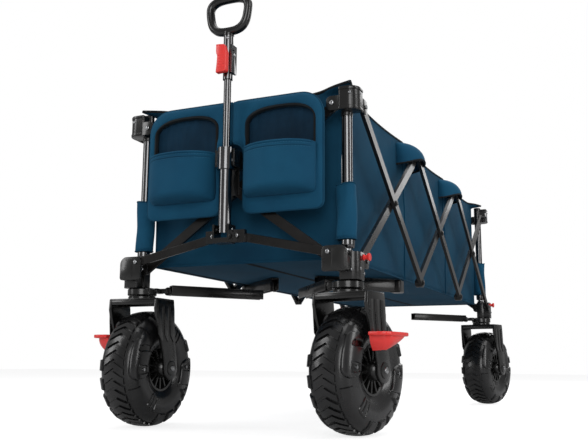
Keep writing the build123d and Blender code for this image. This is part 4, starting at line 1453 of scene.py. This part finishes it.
lightSettings = {"backdrop": 1.0, "fill": 0.27, "paper": 0.78,
                 "panels": (("right", (3.4, -0.6, 1.7), (0, -0.1, 0.4), (0.8, 3.0), 34),
                            ("left", (-2.8, -2.6, 1.9), (0, -0.5, 0.4), (0.8, 2.8), 30),
                            ("top", (0.2, 0.2, 3.6), (0, 0, 0.3), (3.2, 3.6), 62),
                            ("front", (1.5, -4.2, 1.5), (0, -0.6, 0.5), (2.0, 2.6), 56),
                            ("back", (0.4, 3.8, 2.2), (0, 0, 0.4), (3.0, 1.8), 30))}
for name, spot, aim, size, watts in lightSettings["panels"]:
    data = bpy.data.lights.new(name, "AREA")
    data.shape = "RECTANGLE"
    data.size, data.size_y = size
    data.energy = watts
    lamp = bpy.data.objects.new(name, data)
    bpy.context.scene.collection.objects.link(lamp)
    lamp.location = spot
    lamp.rotation_mode = "QUATERNION"
    lamp.rotation_quaternion = (Vector(aim) - Vector(spot)).to_track_quat("-Z", "Y")
world = bpy.data.worlds.new("studio")
world.use_nodes = True
tree = world.node_tree
fill = tree.nodes["Background"]
fill.inputs["Color"].default_value = (1, 1, 1, 1)
fill.inputs["Strength"].default_value = lightSettings["fill"]
backdrop = addNode(tree, "ShaderNodeBackground",
                   {"Color": (1, 1, 1, 1), "Strength": lightSettings["backdrop"]})
seen = addNode(tree, "ShaderNodeLightPath")
either = addNode(tree, "ShaderNodeMixShader", links={0: seen.outputs["Is Camera Ray"], 1: fill.outputs[0],
                                                     2: backdrop.outputs[0]})
tree.links.new(either.outputs[0], tree.nodes["World Output"].inputs["Surface"])
bpy.context.scene.world = world
bpy.context.scene.view_settings.view_transform = "Standard"

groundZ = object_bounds()[0].z
bm = bmesh.new()
bmesh.ops.create_grid(bm, x_segments=1, y_segments=1, size=9.0)
bmesh.ops.translate(bm, vec=(0, 0, groundZ), verts=bm.verts)
paper, tree, shader, co = startMaterial("matt_white_paper", {"Roughness": 0.6, "Specular IOR Level": 0.3,
                                                             "Base Color": (0.5, 0.5, 0.505, 1),
                                                             "Emission Color": (1, 1, 1, 1)})
grain = addNode(tree, "ShaderNodeTexNoise", {"Scale": 220.0}, {"Vector": co.outputs["Object"]})
bump = addNode(tree, "ShaderNodeBump", {"Strength": 0.03, "Distance": 0.0005},
               {"Height": grain.outputs["Fac"]})
tree.links.new(bump.outputs["Normal"], shader.inputs["Normal"])
looked = addNode(tree, "ShaderNodeLightPath")
glow = addNode(tree, "ShaderNodeMapRange", {"To Min": 0.06, "To Max": lightSettings["paper"]},
               {"Value": looked.outputs["Is Camera Ray"]})
tree.links.new(glow.outputs["Result"], shader.inputs["Emission Strength"])
mesh = bpy.data.meshes.new("studio_floor")
bm.to_mesh(mesh)
bm.free()
mesh.materials.append(paper)
floorPiece = bpy.data.objects.new("studio_floor", mesh)
bpy.context.scene.collection.objects.link(floorPiece)
print("studio made")
